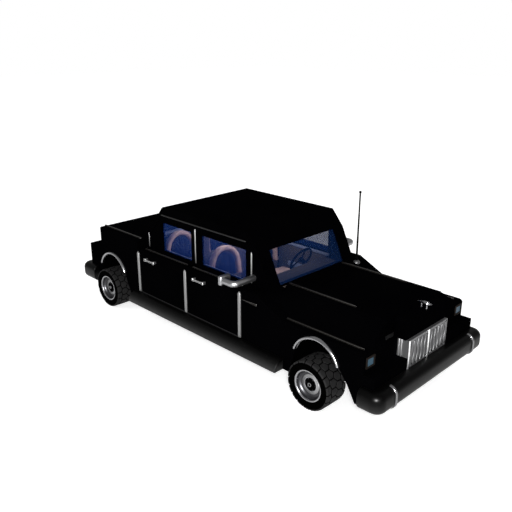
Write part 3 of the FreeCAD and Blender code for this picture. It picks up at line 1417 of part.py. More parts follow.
def body_trim():
    """Bright trim fixed to the body: arch lips, wing and deck bars, drip rails and strips."""
    pieces = [lip(s.front_axle), lip(REAR_AXLE)]
    pieces.append(bar_trim(s.wing_level, s.wing_trim_front, s.wing_trim_place, s.wing_height, True, False))
    pieces.append(bar_trim(s.tail + s.shoulder, s.deck_trim_front, s.belt_trim_place, s.deck_height,
                           False, False))
    drip = part_box(s.drip_rear, s.drip_front, -s.cabin_half - s.drip_width, -s.cabin_half,
                    s.rail_height_roof, s.rail_height_roof + s.drip_height)
    pieces.append(drip)
    front_edge = s.front_seam + s.seam / 2
    strip = new_body("front_strip")
    pad(strip, "XZ_Plane", [pointed(s.sill_top + s.shoulder, s.strip_top, front_edge,
                                    front_edge + s.strip_width, s.strip_point)],
        s.half_width, s.strip_proud)
    pieces.append(strip)
    screen = new_body("screen_strip")
    pad(screen, "XZ_Plane", [pointed(s.screen_strip_bottom, s.screen_strip_top, front_edge,
                                     front_edge + s.pillar_strip, s.strip_point)],
        s.cabin_half, s.pillar_proud)
    pieces.append(screen)
    quarter = new_body("quarter_strip")
    pad(quarter, "XZ_Plane", [pointed(s.belt_height, s.quarter_strip_top, s.quarter_post - s.pillar_strip,
                                      s.quarter_post, s.strip_point)],
        s.cabin_half, s.pillar_proud)
    pieces.append(quarter)
    middle = new_body("middle_strip")
    left = s.post_front - s.post_width / 2 - s.pillar_strip / 2
    pad(middle, "XZ_Plane", [rectangle(left, s.belt_height + s.seam, left + s.pillar_strip, s.middle_strip_top)],
        s.cabin_half, s.pillar_proud)
    pieces.append(middle)
    bar = new_body("shoulder_bar")
    pad(bar, "XZ_Plane", [[(s.bar_rear, s.bar_height), (s.bar_front, s.bar_height - s.bar_half),
                           (s.bar_front, s.bar_height + s.bar_half)]], s.half_width, s.bar_proud)
    pieces.append(bar)
    keep(together("body_trim", pieces + [mirrored(piece) for piece in pieces]))


def bonnet_trim():
    """Two pointed bars along the bonnet."""
    trim = bar_trim(s.bonnet_rear + s.seam, s.bonnet_trim_front, s.bonnet_trim_place, s.bonnet_height,
                    True, False)
    both_sides("bonnet_trim", trim)


def finish():
    """Check every object, then write each node."""
    doc.recompute()
    for thing in doc.Objects:
        if "Invalid" in thing.State or "Error" in thing.State:
            raise RuntimeError(f"{thing.Label}: {thing.State}")
    os.makedirs("parts", exist_ok=True)
    for label, thing in nodes.items():
        shape = thing.Shape
        if shape.isNull() or not shape.isValid() or shape.Volume <= 0:
            raise RuntimeError(f"{label}: no valid solid")
    for label, thing in nodes.items():
        thing.Shape.exportStep(f"parts/{label}.step")
        print(label, len(thing.Shape.Solids), round(thing.Shape.Volume / 1e9, 4))


chassis()
leaf_springs()
floor_pan()
running_boards()
engine()
front_wing()
rear_wing()
front_apron()
radiator_shell()
grille_bars()
bonnet()
bonnet_trim()
boot_lid()
boot_tub()
tail_panel()
roof_and_pillars()
fixed_windows()
scuttle()
middle_posts()
doors()
hinges()
wheels()
knuckles()
front_axle()
rear_axle()
bumpers()
overriders()
lamps()
seats()
partition()
steering_wheel()
side_mirrors()
aerial()
ornament()
body_trim()
finish()
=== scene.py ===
import json
import math

import bmesh
import bpy
from mathutils import Matrix, Vector

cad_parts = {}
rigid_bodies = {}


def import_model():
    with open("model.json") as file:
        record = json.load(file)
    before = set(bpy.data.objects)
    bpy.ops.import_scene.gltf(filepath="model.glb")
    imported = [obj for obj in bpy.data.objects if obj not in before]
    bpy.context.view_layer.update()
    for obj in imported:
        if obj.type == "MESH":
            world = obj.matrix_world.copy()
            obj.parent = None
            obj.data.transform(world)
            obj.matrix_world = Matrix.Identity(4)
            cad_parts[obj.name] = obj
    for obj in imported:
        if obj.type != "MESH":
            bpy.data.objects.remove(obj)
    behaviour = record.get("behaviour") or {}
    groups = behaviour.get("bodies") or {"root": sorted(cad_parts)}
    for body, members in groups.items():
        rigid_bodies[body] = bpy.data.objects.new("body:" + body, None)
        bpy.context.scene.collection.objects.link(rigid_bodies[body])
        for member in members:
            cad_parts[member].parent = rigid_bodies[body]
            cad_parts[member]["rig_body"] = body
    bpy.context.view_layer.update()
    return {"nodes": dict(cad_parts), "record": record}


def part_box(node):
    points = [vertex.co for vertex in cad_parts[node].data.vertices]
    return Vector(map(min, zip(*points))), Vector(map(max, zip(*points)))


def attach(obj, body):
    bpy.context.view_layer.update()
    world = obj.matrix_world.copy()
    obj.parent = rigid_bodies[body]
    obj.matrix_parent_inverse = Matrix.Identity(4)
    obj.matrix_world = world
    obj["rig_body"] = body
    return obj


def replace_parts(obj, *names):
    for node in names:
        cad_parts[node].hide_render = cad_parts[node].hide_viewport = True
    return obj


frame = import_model()
NODES = frame["nodes"]
SLOTS = {part["node"]: part["material_slot"] for part in frame["record"]["subparts"]}
JOINT_PLACES = {joint["name"]: joint["pos_m"] for joint in frame["record"]["behaviour"]["joints"]}
SIDES = (("right", -1), ("left", 1))
CORNERS = [(side, sign, end) for side, sign in SIDES for end in ("front", "rear")]


def placed(name, data):
    """Put a new object in the scene."""
    thing = bpy.data.objects.new(name, data)
    bpy.context.scene.collection.objects.link(thing)
    return thing


# Camera

PHOTO_PLACE = Vector((5.793, -5.800, 3.931))
PHOTO_LOOK = Vector((-1.0, 1.0, -0.5))
PHOTO_ANGLE = math.radians(45)
FAR_CLIP = 100.0


def set_camera():
    """Stand the camera where the photograph was taken, level and with its angle of view."""
    lens = bpy.data.cameras.new("photo_camera")
    lens.sensor_fit = "AUTO"
    lens.angle = PHOTO_ANGLE
    lens.clip_end = FAR_CLIP
    camera = placed("photo_camera", lens)
    camera.location = PHOTO_PLACE
    camera.rotation_euler = PHOTO_LOOK.to_track_quat("-Z", "Y").to_euler()
    bpy.context.scene.camera = camera


set_camera()
bpy.context.scene.view_settings.view_transform = "Standard"


# Materials

# the colour sockets of a Mix node
COLOUR_A, COLOUR_B, COLOUR_OUT = 6, 7, 2


def linear(hex_value):
    """Turn an sRGB hex colour into linear red, green, blue and alpha."""
    channels = [int(hex_value[i:i + 2], 16) / 255 for i in (1, 3, 5)]
    return tuple(c / 12.92 if c <= 0.04045 else ((c + 0.055) / 1.055) ** 2.4 for c in channels) + (1.0,)


def repeats(size):
    """How often a pattern of a size in millimetres repeats in a metre."""
    return 1000 / size


# streaks 125 mm long and 2.5 mm wide, on trim that runs along the car and on upright trim
ALONG_CAR = (repeats(125), repeats(2.5), repeats(2.5))
UPRIGHT = (repeats(2.5), repeats(2.5), repeats(125))


def connect(tree, node, values, links):
    """Set a node's sockets, and link those that another node drives."""
    for socket, value in values.items():
        node.inputs[socket].default_value = value
    for socket, source in links.items():
        tree.links.new(source, node.inputs[socket])


def add(tree, kind, values=None, links=None, **settings):
    """Add one shader node with its settings, its socket values and the sockets linked into it."""
    node = tree.nodes.new(kind)
    for name, value in settings.items():
        setattr(node, name, value)
    connect(tree, node, values or {}, links or {})
    return node


def shader_tree(owner):
    """Give a material or a world an empty tree of nodes."""
    owner.use_nodes = True
    owner.node_tree.nodes.clear()
    return owner.node_tree


def new_material(name):
    """A material with a Principled shader, and Object coordinates for its patterns."""
    material = bpy.data.materials.new(name)
    tree = shader_tree(material)
    shader = add(tree, "ShaderNodeBsdfPrincipled")
    add(tree, "ShaderNodeOutputMaterial", links={"Surface": shader.outputs["BSDF"]})
    place = add(tree, "ShaderNodeTexCoord").outputs["Object"]
    return material, tree, shader, place


def black_lacquer():
    """Black coach lacquer: so deep that it shows no reflection, with a faint bloom where it has aged."""
    material, tree, shader, place = new_material("black_lacquer")
    bloom = add(tree, "ShaderNodeTexNoise", {"Scale": repeats(900), "Detail": 4.0}, {"Vector": place})
    tint = add(tree, "ShaderNodeMix", {COLOUR_A: linear("#010102"), COLOUR_B: linear("#050506")},
               {"Factor": bloom.outputs["Fac"]}, data_type="RGBA")
    peel = add(tree, "ShaderNodeTexNoise", {"Scale": repeats(12), "Detail": 2.0}, {"Vector": place})
    bump = add(tree, "ShaderNodeBump", {"Strength": 0.04, "Distance": 0.0004},
               {"Height": peel.outputs["Fac"]})
    connect(tree, shader, {"Roughness": 0.3, "Specular IOR Level": 0.0},
            {"Base Color": tint.outputs[COLOUR_OUT], "Normal": bump.outputs["Normal"]})
    return material


def plated_metal(name, colour, smoothest, dullest, patch=50):
    """Plated or polished metal: mirror-like where it is well buffed, hazier in patches."""
    material, tree, shader, place = new_material(name)
    haze = add(tree, "ShaderNodeTexNoise", {"Scale": repeats(patch), "Detail": 5.0}, {"Vector": place})
    rough = add(tree, "ShaderNodeMapRange", {"To Min": smoothest, "To Max": dullest},
                {"Value": haze.outputs["Fac"]})
    connect(tree, shader, {"Base Color": linear(colour), "Metallic": 1.0},
            {"Roughness": rough.outputs["Result"]})
    return material


def brushed_trim(name, colour, streaks):
    """Rolled aluminium trim, brushed along its length: an even grey with a fine streak."""
    material, tree, shader, place = new_material(name)
    stretch = add(tree, "ShaderNodeMapping", {"Scale": streaks}, {"Vector": place})
    grain = add(tree, "ShaderNodeTexNoise", {"Scale": 1.0, "Detail": 3.0},
                {"Vector": stretch.outputs["Vector"]})
    rough = add(tree, "ShaderNodeMapRange", {"To Min": 0.38, "To Max": 0.52}, {"Value": grain.outputs["Fac"]})
    bump = add(tree, "ShaderNodeBump", {"Strength": 0.06, "Distance": 0.0003},
               {"Height": grain.outputs["Fac"]})
    connect(tree, shader, {"Base Color": linear(colour), "Metallic": 1.0},
            {"Roughness": rough.outputs["Result"], "Normal": bump.outputs["Normal"]})
    return material


def black_enamel(name, top, bottom, low, high):
    """Stoved black enamel, greyer towards its lower edge as painted light from below."""
    material, tree, shader, place = new_material(name)
    axes = add(tree, "ShaderNodeSeparateXYZ", links={"Vector": place})
    # painted light from below: the colour goes from the lighter bottom colour at the low height to the top
    # colour at the high height, by an amount that varies in random patches
    lit_from_below = add(tree, "ShaderNodeMapRange",
               {"From Min": low, "From Max": high, "To Min": 1.0, "To Max": 0.0},
               {"Value": axes.outputs["Z"]}, interpolation_type="SMOOTHSTEP")
    patches = add(tree, "ShaderNodeTexNoise", {"Scale": repeats(80), "Detail": 4.0}, {"Vector": place})
    spread = add(tree, "ShaderNodeMapRange", {"To Min": 0.85, "To Max": 1.15},
                 {"Value": patches.outputs["Fac"]})
    amount = add(tree, "ShaderNodeMath", {}, {0: lit_from_below.outputs["Result"], 1: spread.outputs["Result"]},
                 operation="MULTIPLY", use_clamp=True)
    tint = add(tree, "ShaderNodeMix", {COLOUR_A: linear(top), COLOUR_B: linear(bottom)},
               {"Factor": amount.outputs["Value"]}, data_type="RGBA")
    rough = add(tree, "ShaderNodeMapRange", {"To Min": 0.30, "To Max": 0.38},
                {"Value": patches.outputs["Fac"]})
    connect(tree, shader, {"Specular IOR Level": 0.06},
            {"Base Color": tint.outputs[COLOUR_OUT], "Roughness": rough.outputs["Result"]})
    return material


def tyre_rubber():
    """Vulcanised rubber: near black and dull, a little greyer where dust lies on the tread."""
    material, tree, shader, place = new_material("tyre_rubber")
    dust = add(tree, "ShaderNodeTexNoise", {"Scale": repeats(70), "Detail": 6.0}, {"Vector": place})
    shade = add(tree, "ShaderNodeMapRange",
                {"From Min": 0.3, "From Max": 0.8, "To Min": 0.0, "To Max": 1.0},
                {"Value": dust.outputs["Fac"]})
    tint = add(tree, "ShaderNodeMix", {COLOUR_A: linear("#1B1B1C"), COLOUR_B: linear("#262525")},
               {"Factor": shade.outputs["Result"]}, data_type="RGBA")
    grit = add(tree, "ShaderNodeTexNoise", {"Scale": repeats(3), "Detail": 2.0}, {"Vector": place})
    bump = add(tree, "ShaderNodeBump", {"Strength": 0.25, "Distance": 0.0008},
               {"Height": grit.outputs["Fac"]})
    connect(tree, shader, {"Roughness": 0.72, "Specular IOR Level": 0.08},
            {"Base Color": tint.outputs[COLOUR_OUT], "Normal": bump.outputs["Normal"]})
    return material


def grained_black(name, colour, gloss, grain, depth, patch, smoothest, dullest):
    """A black skin with a fine moulded grain, and a sheen that changes in wide patches."""
    material, tree, shader, place = new_material(name)
    grit = add(tree, "ShaderNodeTexNoise", {"Scale": repeats(grain), "Detail": 2.0}, {"Vector": place})
    bump = add(tree, "ShaderNodeBump", {"Strength": 0.15, "Distance": depth}, {"Height": grit.outputs["Fac"]})
    haze = add(tree, "ShaderNodeTexNoise", {"Scale": repeats(patch), "Detail": 3.0}, {"Vector": place})
    rough = add(tree, "ShaderNodeMapRange", {"To Min": smoothest, "To Max": dullest},
                {"Value": haze.outputs["Fac"]})
    connect(tree, shader, {"Base Color": linear(colour), "Specular IOR Level": gloss},
            {"Roughness": rough.outputs["Result"], "Normal": bump.outputs["Normal"]})
    return material


def sidewall_rubber():
    """The same rubber, darkened to near black as painted shade on the sidewalls, the lug flanks and in the
    grooves; dull.
    """
    return grained_black("sidewall_rubber", "#020202", 0.001, 4, 0.0006, 100, 0.55, 0.7)


def black_plastic():
    """Moulded black ABS with a fine grain: black, with a soft wide sheen."""
    return grained_black("black_plastic", "#040405", 0.01, 4, 0.0005, 200, 0.34, 0.46)


def bronze_paint():
    """Dark bronze paint of the lamp frames: a brown grey, slightly rough."""
    material, tree, shader, place = new_material("bronze_paint")
    fleck = add(tree, "ShaderNodeTexNoise", {"Scale": repeats(2), "Detail": 3.0}, {"Vector": place})
    shade = add(tree, "ShaderNodeMix", {COLOUR_A: linear("#1C1815"), COLOUR_B: linear("#26201C")},
                {"Factor": fleck.outputs["Fac"]}, data_type="RGBA")
    connect(tree, shader, {"Roughness": 0.5, "Specular IOR Level": 0.03},
            {"Base Color": shade.outputs[COLOUR_OUT]})
    return material


def blue_glass(name, colour, cover):
    """Float glass with a deep blue film: dark blue, the cabin showing through it."""
    material, tree, shader, place = new_material(name)
    film = add(tree, "ShaderNodeTexNoise", {"Scale": repeats(350), "Detail": 2.0}, {"Vector": place})
    rough = add(tree, "ShaderNodeMapRange", {"To Min": 0.02, "To Max": 0.05}, {"Value": film.outputs["Fac"]})
    connect(tree, shader,
            {"Base Color": linear(colour), "Alpha": cover, "IOR": 1.5, "Specular IOR Level": 0.02},
            {"Roughness": rough.outputs["Result"]})
    return material


def lamp_glass():
    """Pressed lamp glass: a pale grey blue, with upright flutes 9 mm apart."""
    material, tree, shader, place = new_material("lamp_glass")
    # a wave of this scale repeats every 2 pi / (20 * scale) metres
    flutes = add(tree, "ShaderNodeTexWave", {"Scale": math.tau / 20 * repeats(9), "Distortion": 0.0},
                 {"Vector": place}, bands_direction="Y")
    bump = add(tree, "ShaderNodeBump", {"Strength": 0.3, "Distance": 0.001},
               {"Height": flutes.outputs["Fac"]})
    connect(tree, shader, {"Base Color": linear("#4A6678"), "Roughness": 0.12, "Specular IOR Level": 0.05},
            {"Normal": bump.outputs["Normal"]})
    return material


def red_lens():
    """Moulded red acrylic with a fine prism grid, 6 mm apart."""
    material, tree, shader, place = new_material("red_lens")
    prisms = add(tree, "ShaderNodeTexChecker", {"Scale": repeats(6)}, {"Vector": place})
    bump = add(tree, "ShaderNodeBump", {"Strength": 0.25, "Distance": 0.0008},
               {"Height": prisms.outputs["Fac"]})
    connect(tree, shader, {"Base Color": linear("#7A0710"), "Roughness": 0.15},
            {"Normal": bump.outputs["Normal"]})
    return material


def chassis_paint():
    """Brushed chassis enamel: dark grey black, thick and a little uneven."""
    material, tree, shader, place = new_material("chassis_paint")
    brush = add(tree, "ShaderNodeTexNoise", {"Scale": repeats(30), "Detail": 5.0}, {"Vector": place})
    bump = add(tree, "ShaderNodeBump", {"Strength": 0.3, "Distance": 0.001}, {"Height": brush.outputs["Fac"]})
    connect(tree, shader, {"Base Color": linear("#161618"), "Roughness": 0.6},
            {"Normal": bump.outputs["Normal"]})
    return material


def grained_skin(name, colour, grain, dullness=0.6, spread=0.08):
    """Vinyl or leather skin over foam: soft sheen, with a pebbled grain of the given size."""
    material, tree, shader, place = new_material(name)
    pebbles = add(tree, "ShaderNodeTexVoronoi", {"Scale": repeats(grain)}, {"Vector": place})
    bump = add(tree, "ShaderNodeBump", {"Strength": 0.2, "Distance": 0.0006},
               {"Height": pebbles.outputs["Distance"]})
    shade = add(tree, "ShaderNodeTexNoise", {"Scale": repeats(150), "Detail": 3.0}, {"Vector": place})
    rough = add(tree, "ShaderNodeMapRange", {"To Min": dullness - spread, "To Max": dullness + spread},
                {"Value": shade.outputs["Fac"]})
    connect(tree, shader, {"Base Color": linear(colour), "Specular IOR Level": 0.3},
            {"Roughness": rough.outputs["Result"], "Normal": bump.outputs["Normal"]})
    return material


def boot_carpet():
    """Needled felt carpet: dark grey and fuzzy, with no shine."""
    material, tree, shader, place = new_material("boot_carpet")
    fuzz = add(tree, "ShaderNodeTexNoise", {"Scale": repeats(3), "Detail": 6.0}, {"Vector": place})
    tint = add(tree, "ShaderNodeMix", {COLOUR_A: linear("#17171A"), COLOUR_B: linear("#34343A")},
               {"Factor": fuzz.outputs["Fac"]}, data_type="RGBA")
    bump = add(tree, "ShaderNodeBump", {"Strength": 0.5, "Distance": 0.002}, {"Height": fuzz.outputs["Fac"]})
    connect(tree, shader, {"Roughness": 0.95, "Sheen Weight": 0.2},
            {"Base Color": tint.outputs[COLOUR_OUT], "Normal": bump.outputs["Normal"]})
    return material


LACQUER = black_lacquer()
CHROME = plated_metal("polished_chrome", "#909092", 0.16, 0.26)
TUBE = plated_metal("tube_chrome", "#6A6A6C", 0.26, 0.34)
SLEEVE = plated_metal("mirror_chrome", "#8E8E90", 0.30, 0.38)
BRIGHT = plated_metal("bright_nickel", "#F2F2F2", 0.3, 0.4)
# a darker copy of the chrome: painted shade for the rim's dish and the nuts that sit in it
SHADED_CHROME = plated_metal("shaded_chrome", "#3C3C3E", 0.32, 0.40)
IRON = plated_metal("cast_alloy", "#616162", 0.4, 0.55, 10)
ALLOY = plated_metal("ring_alloy", "#828283", 0.4, 0.5, 20)
STRIP = brushed_trim("upright_trim", "#848484", UPRIGHT)
GRILLE = brushed_trim("grille_metal", "#6E6E6F", UPRIGHT)
DRIP = brushed_trim("rail_trim", "#303030", ALONG_CAR)
DULL_TRIM = brushed_trim("dull_trim", "#1C1916", ALONG_CAR)
# painted highlight: this lighter trim goes on the bevelled edges of the dark belt and bar trims
LIT_EDGE = brushed_trim("edge_highlight_trim", "#585756", ALONG_CAR)
# the bumpers and running boards carry painted light from below: greyer towards their lower edges
BUMPER = black_enamel("bumper_enamel", "#020202", "#363636", 0.28, 0.44)
BOARD = black_enamel("board_enamel", "#030303", "#3E3E3E", 0.25, 0.385)
RUBBER = tyre_rubber()
SIDEWALL = sidewall_rubber()
PLASTIC = black_plastic()
BRONZE = bronze_paint()
GLASS = blue_glass("side_glass", "#173373", 0.44)
SCREEN = blue_glass("screen_glass", "#122C58", 0.46)
LAMP = lamp_glass()
RED = red_lens()
CHASSIS = chassis_paint()
CARPET = boot_carpet()
MOULDED = grained_skin("moulded_vinyl", "#5C5450", 6)
PALE_VINYL = grained_skin("pale_vinyl", "#8F97B4", 6)
PALE_LEATHER = grained_skin("pale_leather", "#E0BDB6", 4, 0.5)
# painted shade: the dark navy leather of the recessed seat panels stands for the shade in each seat's hollow
HOLLOW_SHADE_LEATHER = grained_skin("hollow_shade_leather", "#10183A", 4, 0.5)

SLOT_FINISH = {
    "paint": LACQUER, "chrome": CHROME, "rim_chrome": CHROME, "tinted_glass": GLASS,
    "lamp_glass": LAMP, "red_lens": RED, "black_trim": PLASTIC, "pale_trim": MOULDED,
    "seat_fabric": PALE_LEATHER, "chassis_steel": CHASSIS, "tyre": RUBBER,
}
OWN_FINISH = {"boot_tub": CARPET, "floor_pan": CHASSIS, "side_mirrors": CHROME, "fixed_windows": SCREEN}


def dress_cad():
    """Give every CAD node the finish of its slot, or its own."""
    for name, slot in SLOTS.items():
        node = NODES[name]
        node.data.materials.clear()
        node.data.materials.append(OWN_FINISH.get(name, SLOT_FINISH[slot]))


dress_cad()


# Floor and light

WHITE = (1.0, 1.0, 1.0, 1.0)
PALE_GREY = (0.8, 0.8, 0.8, 1.0)
FLOOR_SIZE = 60.0
FLOOR_GLOW = 0.72
SKY_GLOW = 0.42
# each lamp's place, width and power; all of them face the middle of the floor under the car
LAMPS = {
    "key_lamp": ((6.6, -6.4, 4.6), 0.9, 340.0),
    "side_lamp": ((-4.0, -7.0, 5.0), 4.0, 150.0),
    "back_lamp": ((-3.0, 6.5, 6.0), 4.0, 110.0),
    "glint_lamp": ((6.6, -6.8, 3.1), 1.3, 3600.0),
}
# courtesy lamps under the roof, which face down
CABIN_LAMPS = {
    "front_cabin_lamp": ((0.10, 0.0, 1.64), 0.5, 11.0),
    "rear_cabin_lamp": ((-0.85, 0.0, 1.64), 0.5, 11.0),
}


def set_floor():
    """A white floor that keeps the object's shadow. Only the camera and mirrors see its glow."""
    bm = bmesh.new()
    bmesh.ops.create_grid(bm, x_segments=1, y_segments=1, size=FLOOR_SIZE)
    mesh = bpy.data.meshes.new("floor")
    bm.to_mesh(mesh)
    bm.free()
    floor = placed("floor", mesh)
    material = bpy.data.materials.new("white_floor")
    tree = shader_tree(material)
    matte = add(tree, "ShaderNodeBsdfDiffuse", {"Color": PALE_GREY})
    glow = add(tree, "ShaderNodeEmission", {"Color": WHITE, "Strength": FLOOR_GLOW})
    both = add(tree, "ShaderNodeAddShader", {}, {0: matte.outputs["BSDF"], 1: glow.outputs["Emission"]})
    rays = add(tree, "ShaderNodeLightPath")
    seen = add(tree, "ShaderNodeMath", {},
               {0: rays.outputs["Is Camera Ray"], 1: rays.outputs["Is Glossy Ray"]},
               operation="MAXIMUM")
    pick = add(tree, "ShaderNodeMixShader", {},
               {0: seen.outputs[0], 1: matte.outputs["BSDF"], 2: both.outputs["Shader"]})
    add(tree, "ShaderNodeOutputMaterial", links={"Surface": pick.outputs["Shader"]})
    mesh.materials.append(material)


def set_world():
    """A world that is white to the camera and through glass, and a softer light to all else."""
    world = bpy.data.worlds.new("studio")
    bpy.context.scene.world = world
    tree = shader_tree(world)
    soft = add(tree, "ShaderNodeBackground", {"Color": WHITE, "Strength": SKY_GLOW})
    white = add(tree, "ShaderNodeBackground", {"Color": WHITE, "Strength": 1.0})
    rays = add(tree, "ShaderNodeLightPath")
    seen = add(tree, "ShaderNodeMath", {},
               {0: rays.outputs["Is Camera Ray"], 1: rays.outputs["Is Transmission Ray"]},
               operation="MAXIMUM")
    pick = add(tree, "ShaderNodeMixShader", {},
               {0: seen.outputs[0], 1: soft.outputs["Background"], 2: white.outputs["Background"]})
    add(tree, "ShaderNodeOutputWorld", links={"Surface": pick.outputs["Shader"]})


def add_lamp(name, place, size, power):
    light = bpy.data.lights.new(name, "AREA")
    light.size = size
    light.energy = power
    lamp = placed(name, light)
    lamp.location = place
    lamp.visible_camera = False
    return lamp


def set_lamps():
    """Soft studio lamps. The glint alone shows in polished faces, and lights nothing else."""
    for name, (place, size, power) in LAMPS.items():
        lamp = add_lamp(name, place, size, power)
        lamp.rotation_euler = (-Vector(place)).to_track_quat("-Z", "Y").to_euler()
        lamp.visible_diffuse = name != "glint_lamp"
        lamp.visible_glossy = name == "glint_lamp"
    for name, (place, size, power) in CABIN_LAMPS.items():
        add_lamp(name, place, size, power).visible_glossy = False


set_floor()
set_world()
set_lamps()


# Making pieces

MERGE, SPIN_MERGE = 0.00002, 0.00005
FLAT_ANGLE = math.radians(0.5)
EDGE_ANGLE = math.radians(35)


def finished(bm, name, materials, body, slot, sharp=35):
    """Turn a bmesh into a piece that rides on a body, smooth but for its sharp edges."""
    bmesh.ops.recalc_face_normals(bm, faces=bm.faces)
    mesh = bpy.data.meshes.new(name)
    bm.to_mesh(mesh)
    bm.free()
    for material in materials if isinstance(materials, tuple) else (materials,):
        mesh.materials.append(material)
    mesh.shade_smooth()
    mesh.set_sharp_from_angle(angle=math.radians(sharp))
    piece = placed(name, mesh)
    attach(piece, body)
    return piece


def rounded(bm, geom, width, segments=2):
    """Round the given edges."""
    bmesh.ops.bevel(bm, geom=geom, offset=width, segments=segments, profile=0.5, affect="EDGES", material=-1)


def block(bm, low, high, width=0.0, segments=2):
    """Add a box between two corners, with its edges rounded."""
    low, high = Vector(low), Vector(high)
    size, middle = high - low, (high + low) / 2
    made = bmesh.ops.create_cube(bm, size=1.0,
                                 matrix=Matrix.Translation(middle) @ Matrix.Diagonal((*size, 1.0)))
    if width:
        rounded(bm, list({edge for vert in made["verts"] for edge in vert.link_edges}), width, segments)


def side_block(bm, sign, low, high, width, segments=2):
    """Add a rounded box on one side of the car. Its corners are given as on the left side."""
    near, far = sorted((sign * low[1], sign * high[1]))
    block(bm, (low[0], near, low[2]), (high[0], far, high[2]), width, segments)


def lathe(profile, steps=64, closed=True):
    """Spin an outline of (radius, y) points about the Y axis."""
    bm = bmesh.new()
    ring = [bm.verts.new((0.0, y, r)) for r, y in profile]
    after = ring[1:] + ring[:1] if closed else ring[1:]
    edges = [bm.edges.new(pair) for pair in zip(ring, after)]
    bmesh.ops.spin(bm, geom=ring + edges, cent=(0, 0, 0), axis=(0, 1, 0), angle=math.tau, steps=steps,
                   use_merge=True)
    bmesh.ops.remove_doubles(bm, verts=bm.verts, dist=SPIN_MERGE)
    return bm


def moved(bm, matrix):
    bmesh.ops.transform(bm, matrix=matrix, verts=bm.verts)
    return bm


def capped(bm):
    """Close every open end."""
    bmesh.ops.holes_fill(bm, edges=[edge for edge in bm.edges if edge.is_boundary], sides=0)
    return bm


def from_axle(place):
    """How far a place lies from the Y axis."""
    return math.hypot(place.x, place.z)


def paint_faces(bm, choose):
    """Give each face the finish that its place asks for."""
    for face in bm.faces:
        face.material_index = choose(face.calc_center_median())


def islands(bm):
    """Groups of vertices that hang together, one for each solid."""
    left = set(bm.verts)
    while left:
        group, front = [], [left.pop()]
        while front:
            vert = front.pop()
            group.append(vert)
            for edge in vert.link_edges:
                other = edge.other_vert(vert)
                if other in left:
                    left.discard(other)
                    front.append(other)
        yield group


def refinish(node, pick):
    """Stand rounded copies of a node's solids in its place, grouped by the finish that each one has.

    pick(low, high) gives a solid's finish: its name, its face and edge materials and its edge radius,
    or None for one that is made by itself.
    """
    source = NODES[node]
    whole = bmesh.new()
    whole.from_mesh(source.data)
    bmesh.ops.remove_doubles(whole, verts=whole.verts, dist=MERGE)
    bmesh.ops.dissolve_limit(whole, angle_limit=FLAT_ANGLE, verts=whole.verts, edges=whole.edges)
    whole.verts.index_update()
    groups = {}
    for group in islands(whole):
        low = Vector([min(vert.co[axis] for vert in group) for axis in range(3)])
        high = Vector([max(vert.co[axis] for vert in group) for axis in range(3)])
        groups.setdefault(pick(low, high), set()).update(vert.index for vert in group)
    groups.pop(None, None)
    for (finish, face_material, edge_material, width), kept in groups.items():
        bm = whole.copy()
        bmesh.ops.delete(bm, geom=[vert for vert in bm.verts if vert.index not in kept], context="VERTS")
        paint_faces(bm, lambda place: 0)
        piece = finished(bm, f"{node}_{finish}", (face_material, edge_material), source["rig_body"],
                         SLOTS[node], 30)
        bevel = piece.modifiers.new("rounded_edges", "BEVEL")
        bevel.width = width
        bevel.segments = 2
        bevel.limit_method = "ANGLE"
        bevel.angle_limit = EDGE_ANGLE
        # the bevelled edges take the edge material; where it is lighter than the faces, it is a painted
        # highlight
        bevel.material = 1
        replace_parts(piece, node)
    whole.free()


# Tyres: chunky lugs on a round carcass

TYRE_LUGS = 18
TYRE_STEPS = 90
GROOVE = 0.014
LUG_COLUMNS = 6
LUG_SHARE = 0.87
LUG_EDGE = 0.003
LUG_ROOT = 0.004
# past this place across, a lug's foot leans in by the splay, as the shoulder does
SHOULDER_PLACE = 0.155
LUG_SPLAY = 0.012
# rows of a middle lug: place across, drop below the crown, reach of its middle, and lead round the tyre
MIDDLE_ROWS = ((0.022, 0.0, 0.034, 0.0), (0.052, 0.0, 0.010, 0.02), (0.082, 0.0, -0.014, 0.04))
# rows of a shoulder lug: the first as above, the others by how far inside the sidewall they lie
SHOULDER_START = (0.108, 0.0, 0.014, 0.02)
SHOULDER_ROWS = ((0.030, 0.0005, 0.0, 0.06), (0.012, 0.005, 0.0, 0.10), (0.0035, 0.024, 0.0, 0.12))
# the carcass: radius and inset of the sidewall, then drop and inset of the band under the lugs
WALL_OUTLINE = ((0.181, 0.042), (0.185, 0.020), (0.195, 0.007), (0.212, 0.0015), (0.238, 0.0),
                (0.258, 0.002), (0.270, 0.007))
BAND_OUTLINE = ((0.005, 0.016), (0.0, 0.034))
# how steep a lug's flank is, and how far from the sidewall one is a groove's
STEEP = 0.75
WALL_ZONE = 0.02


